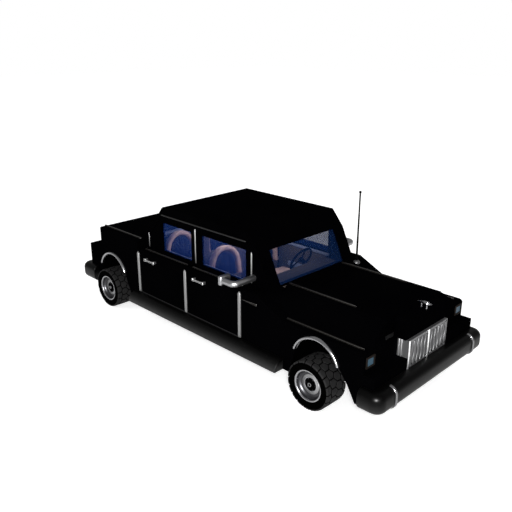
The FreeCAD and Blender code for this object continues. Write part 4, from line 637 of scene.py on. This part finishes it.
def add_lug(bm, radius, base, rows, shift, mirror):
    """One rubber block: its rows bent round the tyre, with its flanks down to the carcass."""
    span = math.tau / TYRE_LUGS
    grid = []
    for y, drop, reach, lead in rows:
        line = []
        for column in range(LUG_COLUMNS + 1):
            share = column / LUG_COLUMNS
            angle = span * (lead + LUG_SHARE * share + shift)
            place = y - reach * (1 - abs(2 * share - 1))
            r = radius - drop
            line.append(bm.verts.new((r * math.sin(angle), mirror * place, r * math.cos(angle))))
        grid.append(line)
    faces = [bm.faces.new((a[k], a[k + 1], b[k + 1], b[k]))
             for a, b in zip(grid, grid[1:]) for k in range(LUG_COLUMNS)]
    bmesh.ops.recalc_face_normals(bm, faces=faces)
    if faces[0].normal.dot(faces[0].calc_center_median()) < 0:
        bmesh.ops.reverse_faces(bm, faces=faces)
    rim = [edge for edge in {edge for face in faces for edge in face.edges} if edge.is_boundary]
    below = {}
    for vert in {vert for edge in rim for vert in edge.verts}:
        x, y, z = vert.co
        scale = (base - LUG_ROOT) / math.hypot(x, z)
        splay = mirror * LUG_SPLAY if abs(y) > SHOULDER_PLACE else 0.0
        below[vert] = bm.verts.new((x * scale, y - splay, z * scale))
    for edge in rim:
        loop = edge.link_loops[0]
        first, second = loop.vert, loop.link_loop_next.vert
        bm.faces.new((second, first, below[first], below[second]))
    rounded(bm, rim, LUG_EDGE, 1)


def add_tyre(node):
    """A tyre with two middle rows of six-sided lugs round a zigzag groove, and a row on each shoulder."""
    low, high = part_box(node)
    radius, half = (high.z - low.z) / 2, (high.y - low.y) / 2
    base = radius - GROOVE
    side = [(r, half - inset) for r, inset in WALL_OUTLINE]
    side += [(base - drop, half - inset) for drop, inset in BAND_OUTLINE]
    bm = lathe(side + [(r, -y) for r, y in reversed(side)], TYRE_STEPS)
    carcass, walls = set(bm.verts), set(bm.faces)
    shoulder = [SHOULDER_START]
    shoulder += [(half - inset, drop, reach, lead) for inset, drop, reach, lead in SHOULDER_ROWS]
    for mirror in (-1, 1):
        turn = 0.5 if mirror > 0 else 0.0
        add_lug(bm, radius, base, MIDDLE_ROWS, turn, mirror)
        add_lug(bm, radius, base, shoulder, turn + 0.5, mirror)
    lugs = [vert for vert in bm.verts if vert not in carcass]
    edges = {edge for vert in lugs for edge in vert.link_edges}
    faces = {face for vert in lugs for face in vert.link_faces}
    bmesh.ops.spin(bm, geom=lugs + list(edges) + list(faces), cent=(0, 0, 0), axis=(0, 1, 0),
                   angle=math.tau * (TYRE_LUGS - 1) / TYRE_LUGS, steps=TYRE_LUGS - 1, use_duplicate=True)
    bm.normal_update()
    # painted shade: the carcass (sidewalls and groove floors) and the lug flanks take the near-black copy of
    # the rubber; the lug tops and the outer shoulder faces keep the lighter one
    for face in bm.faces:
        place, normal = face.calc_center_median(), face.normal
        along = abs(normal.x * place.z - normal.z * place.x) / from_axle(place)
        between = abs(normal.y) > STEEP and abs(place.y) < half - WALL_ZONE
        face.material_index = int(face in walls or along > STEEP or between)
    moved(bm, Matrix.Translation((low + high) / 2))
    piece = finished(bm, f"{node}_tread", (RUBBER, SIDEWALL), NODES[node]["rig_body"], "tyre", 20)
    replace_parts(piece, node)


# Deep-dish rims, drawn as (radius, place) outlines turned about the axle

RIM_STEPS, RING_STEPS, HUB_STEPS = 72, 64, 48
# the lip is placed from the rim's outer face, the back from its inner face, all else from its middle
RIM_LIP = ((0.190, 0.006), (0.1895, 0.001), (0.186, 0.0), (0.179, 0.001), (0.173, 0.005), (0.169, 0.013),
           (0.167, 0.030))
RIM_DISH = ((0.158, 0.108), (0.146, 0.098), (0.134, 0.094), (0.118, 0.094), (0.110, 0.092), (0.110, 0.084),
            (0.132, 0.078), (0.165, 0.062))
RIM_BACK = ((0.166, 0.010), (0.170, 0.0), (0.186, 0.0), (0.190, 0.006), (0.179, 0.014))
RIM_WELL = (0.177, 0.0)
BEAD_RADIUS, BEAD_INSET = 0.179, 0.014
# where each band of the rim ends, on the lip, on the wall behind it and in the dish: each band is darker than
# the last, as painted shade of the deep dish
LIP_ZONE, WALL_END, DISH_FLOOR = 0.0035, 0.016, 0.09
RING = ((0.121, 0.090), (0.121, 0.0965), (0.119, 0.1000), (0.115, 0.1015), (0.094, 0.1025), (0.090, 0.1045),
        (0.0875, 0.1060), (0.084, 0.1060), (0.081, 0.1040), (0.080, 0.090))
RING_BAND = 0.091
HUB = ((0.082, 0.084), (0.082, 0.094), (0.076, 0.0955), (0.061, 0.096), (0.058, 0.099), (0.057, 0.113),
       (0.053, 0.118), (0.046, 0.1195), (0.024, 0.1195), (0.023, 0.1225), (0.020, 0.1235), (0.017, 0.1225),
       (0.016, 0.1195), (0.0, 0.1190))
HUB_BEAD = (0.0155, 0.0245)
STUB_RADIUS, STUB_LENGTH, STUB_PLACE = 0.045, 0.075, 0.048
NUTS, NUT_CIRCLE, NUT_PLACE = 6, 0.0695, 0.0995
NUT_FOOT, NUT_TOP, NUT_HEIGHT, NUT_EDGE = 0.008, 0.0074, 0.012, 0.0012


def add_rim(node, side):
    """A deep-dish rim: bright lip, dish darkened by painted shade, grey ring, black hub and its nuts."""
    low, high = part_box(node)
    half = (high.y - low.y) / 2
    body = NODES[node]["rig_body"]
    place = Matrix.Translation((low + high) / 2) @ Matrix.Diagonal((1.0, side, 1.0, 1.0))
    outline = [(r, half - inset) for r, inset in RIM_LIP] + list(RIM_DISH)
    outline += [(r, inset - half) for r, inset in RIM_BACK] + [RIM_WELL, (BEAD_RADIUS, half - BEAD_INSET)]

    def shade_by_depth(spot):
        if spot.y > half - LIP_ZONE:
            return 0
        if spot.y > half - WALL_END:
            return 1
        return 2 if spot.y > DISH_FLOOR else 3

    barrel = lathe(outline, RIM_STEPS)
    paint_faces(barrel, shade_by_depth)
    piece = finished(moved(barrel, place), f"{node}_barrel", (CHROME, TUBE, SHADED_CHROME, CHASSIS), body,
                     "rim_chrome", 40)
    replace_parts(piece, node)
    ring = lathe(RING, RING_STEPS)
    paint_faces(ring, lambda spot: int(from_axle(spot) < RING_BAND))
    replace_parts(finished(moved(ring, place), f"{node}_ring", (ALLOY, CHROME), body, "rim_chrome", 40), node)
    hub = lathe(HUB, HUB_STEPS, closed=False)
    paint_faces(hub, lambda spot: int(HUB_BEAD[0] < from_axle(spot) < HUB_BEAD[1]))
    inward, outward = Matrix.Rotation(math.pi / 2, 4, "X"), Matrix.Rotation(-math.pi / 2, 4, "X")
    bmesh.ops.create_cone(hub, cap_ends=True, segments=32, radius1=STUB_RADIUS, radius2=STUB_RADIUS,
                          depth=STUB_LENGTH, matrix=Matrix.Translation((0, STUB_PLACE, 0)) @ inward)
    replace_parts(finished(moved(hub, place), f"{node}_hub", (LACQUER, ALLOY), body, "rim_chrome", 40), node)
    nuts = bmesh.new()
    for index in range(NUTS):
        turn = Matrix.Rotation(math.tau * index / NUTS, 4, "Y")
        spot = turn @ Matrix.Translation((NUT_CIRCLE, NUT_PLACE, 0.0)) @ outward
        made = bmesh.ops.create_cone(nuts, cap_ends=True, segments=6, radius1=NUT_FOOT, radius2=NUT_TOP,
                                     depth=NUT_HEIGHT, matrix=spot)
        outer = [edge for edge in {edge for vert in made["verts"] for edge in vert.link_edges}
                 if all(vert.co.y > NUT_PLACE for vert in edge.verts)]
        rounded(nuts, outer, NUT_EDGE, 1)
    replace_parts(finished(moved(nuts, place), f"{node}_nuts", SHADED_CHROME, body, "rim_chrome", 30), node)


for side_name, side_sign, end_name in CORNERS:
    add_tyre(f"{side_name}_{end_name}_tyre")
    add_rim(f"{side_name}_{end_name}_rim", side_sign)


# Brightwork, bumpers and lamps

# a belt bar lies above the belt, a rail above the windows, a handle or bar is low, and an arch lip is
# both long and tall
BELT, WINDOW_TOP = 1.04, 1.5
HANDLE_HEIGHT, BAR_HEIGHT = 0.06, 0.05
LIP_LENGTH, LIP_HEIGHT = 0.6, 0.15


def on_door(low, high):
    """The finish of a piece of door trim."""
    if low.z > BELT:
        return "belt", DULL_TRIM, LIT_EDGE, 0.003
    # a handle's bevelled edges are bright nickel round its darker cast faces: a painted highlight
    if high.z - low.z < HANDLE_HEIGHT:
        return "handle", IRON, BRIGHT, 0.005
    return "strip", STRIP, STRIP, 0.004


def on_body(low, high):
    """The finish of a piece of body trim. The arch lips are made by themselves."""
    if low.z > WINDOW_TOP:
        return "rail", DRIP, DRIP, 0.004
    if high.x - low.x > LIP_LENGTH and high.z - low.z > LIP_HEIGHT:
        return None
    if high.z - low.z < BAR_HEIGHT:
        return "bar", DULL_TRIM, LIT_EDGE, 0.003
    return "strip", STRIP, STRIP, 0.003


for side_name, _, end_name in CORNERS:
    refinish(f"{side_name}_{end_name}_door_trim", on_door)
refinish("body_trim", on_body)
refinish("bonnet_trim", lambda low, high: ("bar", DULL_TRIM, LIT_EDGE, 0.003))
refinish("bumpers", lambda low, high: ("blade", BUMPER, BUMPER, 0.006))
# painted highlight: the straps' bevelled edges are chrome round their darker grille metal
refinish("bumper_overriders", lambda low, high: ("strap", GRILLE, CHROME, 0.003))
refinish("running_boards", lambda low, high: ("tread", BOARD, BOARD, 0.004))
refinish("headlamp_frames", lambda low, high: ("bezel", BRONZE, BRONZE, 0.004))
refinish("ornament", lambda low, high: ("dart", CHROME, CHROME, 0.001))


# Grille

# the bars on the side walls, which the bright caps cover, and where each begins along the car
SIDE_BAR_PROUD, SIDE_BAR_WIDTH, SIDE_BAR_FOOT = 0.005, 0.020, 0.634
SIDE_BARS = (2.610, 2.640)
CAP_MARGIN, CAP_LIFT, CAP_HALF, CAP_EDGE = 0.001, 0.0005, 0.0035, 0.002
FOOT_CLEARANCE = 0.003
BAND_BACK, BAND_FRONT, BAND_MARGIN, BAND_DROP, BAND_RISE = 0.010, 0.001, 0.016, 0.040, 0.016
PLATE_BACK, PLATE_FRONT, PLATE_MARGIN = 0.034, 0.0305, 0.022
RIBS, RIB_START, RIB_PITCH, RIB_RADIUS = 5, 0.070, 0.076, 0.009
RIB_STEPS, RIB_SWAY, RIB_WAVES, RIB_PLACE = 9, 0.007, 1.5, 0.002
RIB_TOP, RIB_FOOT = 0.030, 0.022
BAR_HALF, BAR_BACK, BAR_FRONT, BAR_TOP, BAR_EDGE = 0.010, 0.006, 0.010, 0.004, 0.004
MIDDLE_DROP, CORNER_DROP = 0.012, 0.034
RIVET_RADIUS, RIVET_DROP, RIVET_LIFT, RIVET_PITCH, RIVETS = 0.009, 0.018, 0.030, 0.072, 6
TOP_RIVETS, FIRST_RIVET = (0.036, 0.392), 0.035


def add_rib(bm, x, y, foot, top, turn):
    """A round rib that bends a little to and fro on its way down, as a fluted pressing does."""
    rings = []
    for step in range(RIB_STEPS + 1):
        share = step / RIB_STEPS
        spot = (x, y + RIB_SWAY * math.sin(share * math.tau * RIB_WAVES + turn), top - share * (top - foot))
        made = bmesh.ops.create_circle(bm, cap_ends=step in (0, RIB_STEPS), segments=8, radius=RIB_RADIUS,
                                       matrix=Matrix.Translation(spot))
        rings.append(made["verts"])
    for first, second in zip(rings, rings[1:]):
        loops = [edge for ring in (first, second) for vert in ring for edge in vert.link_edges
                 if edge.other_vert(vert) in ring]
        bmesh.ops.bridge_loops(bm, edges=list(set(loops)))


def add_grille():
    """Bright bars on the grille's middle and edge, ribs between its bars and the rivets that hold them."""
    low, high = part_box("grille_bars")
    NODES["grille_bars"].data.materials[0] = GRILLE
    face, bottom, top = high.x, low.z, high.z
    half = high.y - SIDE_BAR_PROUD
    # the foot band stands clear of the bumper
    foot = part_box("bumpers")[1].z + FOOT_CLEARANCE
    backing = bmesh.new()
    width = half - BAND_MARGIN
    block(backing, (face - BAND_BACK, -width, foot - BAND_DROP),
          (face - BAND_FRONT, width, foot + BAND_RISE), 0.002, 1)
    width = half - PLATE_MARGIN
    block(backing, (face - PLATE_BACK, -width, bottom + PLATE_MARGIN),
          (face - PLATE_FRONT, width, top - PLATE_MARGIN), 0.001, 1)
    finished(backing, "grille_backing", GRILLE, "body", "chrome")
    ribs = bmesh.new()
    for sign in (-1, 1):
        for index in range(RIBS):
            add_rib(ribs, face - RIB_PLACE, sign * (RIB_START + index * RIB_PITCH), foot + RIB_FOOT,
                    top - RIB_TOP, index)
    finished(ribs, "grille_ribs", IRON, "body", "chrome", 50)
    bars = bmesh.new()
    for y, drop in ((0.0, MIDDLE_DROP), (BAR_HALF - half, CORNER_DROP)):
        block(bars, (face - BAR_BACK, y - BAR_HALF, bottom - drop),
              (face + BAR_FRONT, y + BAR_HALF, top + BAR_TOP), BAR_EDGE)
    finished(bars, "grille_bright_bars", BRIGHT, "body", "chrome")
    caps = bmesh.new()
    for sign in (-1, 1):
        y = sign * (half + SIDE_BAR_PROUD + CAP_LIFT)
        for x in SIDE_BARS:
            block(caps, (x + CAP_MARGIN, y - CAP_HALF, SIDE_BAR_FOOT),
                  (x + SIDE_BAR_WIDTH - CAP_MARGIN, y + CAP_HALF, top), CAP_EDGE)
    finished(caps, "grille_side_bars", BRIGHT, "body", "chrome")
    rivets = bmesh.new()
    spots = [(sign * place, top - RIVET_DROP) for sign in (-1, 1) for place in TOP_RIVETS]
    spots += [(sign * (FIRST_RIVET + RIVET_PITCH * index), foot + RIVET_LIFT)
              for sign in (-1, 1) for index in range(RIVETS)]
    flat = Matrix.Diagonal((0.5, 1.0, 1.0, 1.0))
    for y, z in spots:
        bmesh.ops.create_uvsphere(rivets, u_segments=12, v_segments=6, radius=RIVET_RADIUS,
                                  matrix=Matrix.Translation((face, y, z)) @ flat)
    finished(rivets, "grille_rivets", PLASTIC, "body", "black_trim", 60)


add_grille()


# Arch lips, mirrors, aerial and splash shields

ARCH_HEIGHT, LIP_SPRINGING, LIP_RADIUS, LIP_STEPS = 0.501, 0.109, 0.330, 44
# the lip's section, as (distance from the arch's middle, distance from the car's middle)
LIP_SECTION = ((0.3085, 1.0445), (0.308, 1.062), (0.3105, 1.072), (0.317, 1.0795), (0.327, 1.082),
               (0.337, 1.0785), (0.343, 1.070), (0.345, 1.0445))


def add_arch_lips():
    """A deep half-round bright moulding along the edge of each wheel arch."""
    half_angle = math.acos(LIP_SPRINGING / LIP_RADIUS)
    bm = bmesh.new()
    for side, sign, end in CORNERS:
        axle = JOINT_PLACES[f"{side}_{end}_spin"][0]
        ring = [bm.verts.new((axle - r * math.sin(half_angle), sign * y,
                              ARCH_HEIGHT + r * math.cos(half_angle))) for r, y in LIP_SECTION]
        edges = [bm.edges.new(pair) for pair in zip(ring, ring[1:] + ring[:1])]
        bmesh.ops.spin(bm, geom=ring + edges, cent=(axle, 0, ARCH_HEIGHT), axis=(0, 1, 0),
                       angle=2 * half_angle, steps=LIP_STEPS)
    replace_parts(finished(capped(bm), "arch_lips", CHROME, "body", "chrome", 40), "body_trim")


add_arch_lips()

ARM_FOOT, ARM_RADIUS = (0.787, 0.8305, 1.155), 0.040
ARM_REACH, ARM_BEND, ARM_RUN, BEND_STEPS = 0.2745, 0.060, 0.150, 10
HEAD_WIDTH, HEAD_DEPTH, HEAD_EDGE = 0.172, 0.060, 0.022
PANE_INSET, PANE_PROUD, PANE_DEPTH = 0.024, 0.0015, 0.002


def run_on(bm, edges, step):
    """Draw a ring of edges out by a step, and give the ring at its end."""
    made = bmesh.ops.extrude_edge_only(bm, edges=edges)["geom"]
    bmesh.ops.translate(bm, verts=[part for part in made if isinstance(part, bmesh.types.BMVert)], vec=step)
    return [part for part in made if isinstance(part, bmesh.types.BMEdge)]


def add_mirror(side, sign):
    """A door mirror: a bent tube from the screen pillar, a rounded head and its glass."""
    low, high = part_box("side_mirrors")
    x, y, z = ARM_FOOT
    arm = bmesh.new()
    ring = bmesh.ops.create_circle(
        arm, cap_ends=False, segments=28, radius=ARM_RADIUS,
        matrix=Matrix.Translation((x, sign * y, z)) @ Matrix.Rotation(math.pi / 2, 4, "X"))
    edges = list({edge for vert in ring["verts"] for edge in vert.link_edges})
    edges = run_on(arm, edges, (0, sign * ARM_REACH, 0))
    verts = list({vert for edge in edges for vert in edge.verts})
    made = bmesh.ops.spin(arm, geom=verts + edges, cent=(x - ARM_BEND, sign * (y + ARM_REACH), z),
                          axis=(0, 0, sign), angle=math.pi / 2, steps=BEND_STEPS)
    edges = [part for part in made["geom_last"] if isinstance(part, bmesh.types.BMEdge)]
    run_on(arm, edges, (-ARM_RUN, 0, 0))
    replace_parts(finished(capped(arm), f"{side}_mirror_arm", SLEEVE, "body", "chrome", 50), "side_mirrors")
    head = bmesh.new()
    near = high.y - HEAD_WIDTH
    side_block(head, sign, (low.x, near, low.z), (low.x + HEAD_DEPTH, high.y, high.z), HEAD_EDGE, 4)
    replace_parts(finished(head, f"{side}_mirror_head", SLEEVE, "body", "chrome"), "side_mirrors")
    pane = bmesh.new()
    side_block(pane, sign, (low.x - PANE_PROUD, near + PANE_INSET, low.z + PANE_INSET),
               (low.x + PANE_DEPTH, high.y - PANE_INSET, high.z - PANE_INSET), 0.001, 1)
    finished(pane, f"{side}_mirror_glass", BRIGHT, "body", "chrome")


for side_name, side_sign in SIDES:
    add_mirror(side_name, side_sign)

AERIAL_PLACE = (1.128, 0.815, 0.0)
# the whip's outline as (radius, height): domed base, three sections and a ball
WHIP = ((0.0, 1.008), (0.0500, 1.008), (0.0495, 1.018), (0.044, 1.034), (0.032, 1.046), (0.021, 1.052),
        (0.0135, 1.058), (0.0135, 1.380), (0.0120, 1.386), (0.0120, 1.700), (0.0105, 1.706), (0.0105, 1.990),
        (0.0160, 1.996), (0.0170, 2.008), (0.0140, 2.019), (0.0, 2.0235))
BASE_TOP = 1.054


def add_aerial():
    """A telescopic whip aerial in three sections on a domed base, with a ball at its tip."""
    whip = lathe(WHIP, 24, closed=False)
    paint_faces(whip, lambda spot: int(spot.y < BASE_TOP))
    upright = Matrix.Translation(AERIAL_PLACE) @ Matrix.Rotation(math.pi / 2, 4, "X")
    piece = finished(moved(whip, upright), "whip_aerial", (PLASTIC, IRON), "body", "black_trim", 40)
    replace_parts(piece, "aerial")


add_aerial()

SHIELD_LOW, SHIELD_HIGH, SHIELD_EDGE = (1.572, 0.660, 0.125), (1.580, 0.975, 0.600), 0.003
RIDGES, FIRST_RIDGE, RIDGE_PITCH, RIDGE_HALF = 6, 0.690, 0.051, 0.006
RIDGE_REAR, RIDGE_FRONT, RIDGE_BOTTOM, RIDGE_TOP = 1.5785, 1.586, 0.150, 0.570


def add_splash_shield(side, sign):
    """A ribbed rubber shield that closes the rear of a front wheel house."""
    bm = bmesh.new()
    side_block(bm, sign, SHIELD_LOW, SHIELD_HIGH, SHIELD_EDGE)
    for index in range(RIDGES):
        y = FIRST_RIDGE + index * RIDGE_PITCH
        side_block(bm, sign, (RIDGE_REAR, y - RIDGE_HALF, RIDGE_BOTTOM),
                   (RIDGE_FRONT, y + RIDGE_HALF, RIDGE_TOP), 0.002, 1)
    finished(bm, f"{side}_splash_shield", SIDEWALL, "body", "black_trim")


for side_name, side_sign in SIDES:
    add_splash_shield(side_name, side_sign)


# Seats

SEAT_ROWS = (("front", -0.250), ("rear", -1.240))
SEAT_MIDDLE = 0.380
SEAT_RAKE, RAKE_HEIGHT = 0.060, 0.51
# arches, as half width, foot and top
BOLSTER_OUTER, BOLSTER_INNER = (0.272, 0.760, 1.213), (0.212, 0.760, 1.153)
PANEL_ARCH = (0.205, 0.765, 1.145)
BOLSTER_REAR, BOLSTER_FRONT, PANEL_REAR, PANEL_FRONT = 0.022, 0.108, 0.030, 0.080
CUSHION_LOW, CUSHION_HIGH, CUSHION_ROUND = (0.150, -0.272, 0.550), (0.585, 0.272, 0.700), 0.05
# sewn channels: axis, place, depth and width
PANEL_SEAMS = ((1, -0.05, 0.008, 0.012), (1, 0.05, 0.008, 0.012))
CUSHION_SEAMS = ((1, -0.165, 0.012, 0.014), (1, 0.165, 0.012, 0.014))
# the boxes of the moulded base: low corner, high corner and edge radius
SEAT_BASE = (((0.005, -0.285, 0.512), (0.600, 0.285, 0.556), 0.012),
             ((0.006, -0.262, 0.540), (0.070, 0.262, 0.770), 0.015))
CLOTH_FRAMES, CLOTH_PRESSURE, CLOTH_MASS, CLOTH_QUALITY = 18, 4.0, 0.4, 5


def arch_points(half, foot, top, steps=12):
    """A round-topped outline: up one side, over the arch and down the other."""
    springing = top - half
    points = [(-half, foot)]
    points += [(-half * math.cos(math.pi * step / steps), springing + half * math.sin(math.pi * step / steps))
               for step in range(steps + 1)]
    return points + [(half, foot)]


def upright_pad(outline, rear, front):
    """Thicken an outline in Y and Z along X."""
    bm = bmesh.new()
    face = bm.faces.new([bm.verts.new((rear, y, z)) for y, z in outline])
    made = bmesh.ops.extrude_face_region(bm, geom=[face])
    moving = [part for part in made["geom"] if isinstance(part, bmesh.types.BMVert)]
    bmesh.ops.translate(bm, verts=moving, vec=(front - rear, 0, 0))
    bmesh.ops.recalc_face_normals(bm, faces=bm.faces)
    return bm


def evaluated(thing):
    """A mesh of an object as its modifiers leave it."""
    return bpy.data.meshes.new_from_object(thing.evaluated_get(bpy.context.evaluated_depsgraph_get()))


def stuffed(bm, voxel, cap, seams=()):
    """Blow a closed shape up as stuffed leather under pressure, then sew its channels in."""
    scene = bpy.context.scene
    mesh = bpy.data.meshes.new("stuffing")
    bm.to_mesh(mesh)
    bm.free()
    cover = placed("stuffing", mesh)
    even = cover.modifiers.new("even_mesh", "REMESH")
    even.mode = "VOXEL"
    even.voxel_size = voxel
    bpy.context.view_layer.update()
    mesh = evaluated(cover)
    cover.modifiers.clear()
    cover.data = mesh
    start = [vert.co.copy() for vert in mesh.vertices]
    cloth = cover.modifiers.new("leather", "CLOTH")
    cloth.settings.use_pressure = True
    cloth.settings.uniform_pressure_force = CLOTH_PRESSURE
    cloth.settings.effector_weights.gravity = 0.0
    cloth.settings.mass = CLOTH_MASS
    cloth.settings.quality = CLOTH_QUALITY
    for step in range(1, CLOTH_FRAMES + 1):
        scene.frame_set(step)
    blown = evaluated(cover)
    cover.modifiers.clear()
    scene.frame_set(1)
    for vert, new, old in zip(mesh.vertices, blown.vertices, start):
        push = new.co - old
        vert.co = old + (push.normalized() * cap if push.length > cap else push)
    normals = [vert.normal.copy() for vert in mesh.vertices]
    for vert, old, normal in zip(mesh.vertices, start, normals):
        for axis, place, depth, width in seams:
            vert.co -= normal * depth * math.exp(-((old[axis] - place) / width) ** 2)
    bpy.data.objects.remove(cover)
    return mesh


def seat_pads():
    """The soft forms of one seat, made once round its own middle at Y 0, its back at X 0."""
    lean = Matrix.Identity(4)
    lean[0][2] = -SEAT_RAKE / RAKE_HEIGHT
    lean[0][3] = SEAT_RAKE
    outline = arch_points(*BOLSTER_OUTER) + list(reversed(arch_points(*BOLSTER_INNER)))
    bolster = moved(upright_pad(outline, BOLSTER_REAR, BOLSTER_FRONT), lean)
    panel = moved(upright_pad(arch_points(*PANEL_ARCH), PANEL_REAR, PANEL_FRONT), lean)
    cushion = bmesh.new()
    block(cushion, CUSHION_LOW, CUSHION_HIGH, CUSHION_ROUND, 3)
    return (
        ("bolster", stuffed(bolster, 0.014, 0.020), PALE_LEATHER, 0.8),
        ("panel", stuffed(panel, 0.014, 0.018, PANEL_SEAMS), HOLLOW_SHADE_LEATHER, 0.7),
        ("cushion", stuffed(cushion, 0.016, 0.026, CUSHION_SEAMS), PALE_LEATHER, 0.7),
    )


def add_seats():
    """Four arch-topped seats: pale bolsters round dark panels of painted shade, on pale cushions over boxed
    bases.
    """
    forms = seat_pads()
    for row, rear in SEAT_ROWS:
        for side, sign in SIDES:
            middle = Matrix.Translation((rear, sign * SEAT_MIDDLE, 0.0))
            for form, mesh, material, fill in forms:
                own = mesh.copy()
                own.transform(middle)
                own.materials.clear()
                own.materials.append(material)
                own.shade_smooth()
                pad = placed(f"{side}_{row}_seat_{form}", own)
                smooth = pad.modifiers.new("smooth_leather", "SUBSURF")
                smooth.levels = 1
                smooth.render_levels = 1
                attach(pad, "body")
                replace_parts(pad, "seats")
            shell = bmesh.new()
            for low, high, edge in SEAT_BASE:
                block(shell, low, high, edge, 2)
            piece = finished(moved(shell, middle), f"{side}_{row}_seat_base", MOULDED, "body", "seat_fabric")
            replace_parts(piece, "seats")


add_seats()


# Door cards and cabin fittings

# where the cards end, at the rear and at the front
CARD_ENDS = {"front": (-0.285, 0.690), "rear": (-1.320, -0.352)}
# boxes of the card and of its soft parts: inset from both ends, near and far Y, bottom and top Z,
# edge radius and steps of the edge
CARD = ((0.0, 0.772, 0.7835, 0.440, 1.010, 0.004, 2), (0.050, 0.766, 0.773, 0.480, 0.640, 0.003, 2),
        (0.050, 0.766, 0.773, 0.820, 0.980, 0.003, 2))
SOFT_PARTS = ((0.0, 0.742, 0.7835, 1.012, 1.050, 0.014, 3),
              (0.22, 0.726, 0.773, 0.690, 0.760, 0.016, 3))
# the pull's corners, its X measured from the card's front end
PULL_LOW, PULL_HIGH, PULL_EDGE = (-0.20, 0.752, 0.870), (-0.10, 0.772, 0.885), 0.004


def add_door_card(side, sign, end):
    """Trimmed inner face of a door: a panel, a pale sill roll, an armrest and a pull handle."""
    door = f"{side}_{end}_door"
    rear, front = CARD_ENDS[end]
    for form, boxes, material in (("card", CARD, MOULDED), ("sill_and_armrest", SOFT_PARTS, PALE_VINYL)):
        bm = bmesh.new()
        for inset, near, far, bottom, top, edge, segments in boxes:
            side_block(bm, sign, (rear + inset, near, bottom), (front - inset, far, top), edge, segments)
        finished(bm, f"{door}_{form}", material, door, "pale_trim")
    pull = bmesh.new()
    side_block(pull, sign, (front + PULL_LOW[0], *PULL_LOW[1:]), (front + PULL_HIGH[0], *PULL_HIGH[1:]),
               PULL_EDGE)
    finished(pull, f"{door}_pull", CHROME, door, "chrome")


for side_name, side_sign, end_name in CORNERS:
    add_door_card(side_name, side_sign, end_name)

SHELF_LOW, SHELF_HIGH, SHELF_EDGE = (-1.400, -0.620, 1.187), (-1.305, 0.620, 1.203), 0.004
# the dials' places across and radii
DIALS = ((0.270, 0.042), (0.490, 0.042), (0.600, 0.026))
DIAL_PLACE, DIAL_HEIGHT, DIAL_TILT, DIAL_FACE = 0.6675, 0.935, math.radians(-8), 0.8
# a dial's outline: how far inside its rim each point lies, and how proud
DIAL_OUTLINE = ((0.0, 0.0), (0.0, 0.008), (0.003, 0.010), (0.006, 0.008), (0.007, 0.004))
DIAL_CENTRE = (0.0, 0.0035)


def add_cabin_fittings():
    """A parcel shelf, and the dials in front of the driver."""
    shelf = bmesh.new()
    block(shelf, SHELF_LOW, SHELF_HIGH, SHELF_EDGE)
    finished(shelf, "parcel_shelf", PALE_VINYL, "body", "pale_trim")
    for number, (y, radius) in enumerate(DIALS, 1):
        outline = [(radius - inset, proud) for inset, proud in DIAL_OUTLINE] + [DIAL_CENTRE]
        dial = lathe(outline, 32, closed=False)
        paint_faces(dial, lambda spot: int(from_axle(spot) < DIAL_FACE * radius))
        turn = Matrix.Translation((DIAL_PLACE, y, DIAL_HEIGHT)) @ Matrix.Rotation(DIAL_TILT, 4, "Y")
        finished(moved(dial, turn @ Matrix.Rotation(math.pi / 2, 4, "Z")), f"dial_{number}",
                 (CHROME, PLASTIC), "body", "chrome", 40)


add_cabin_fittings()
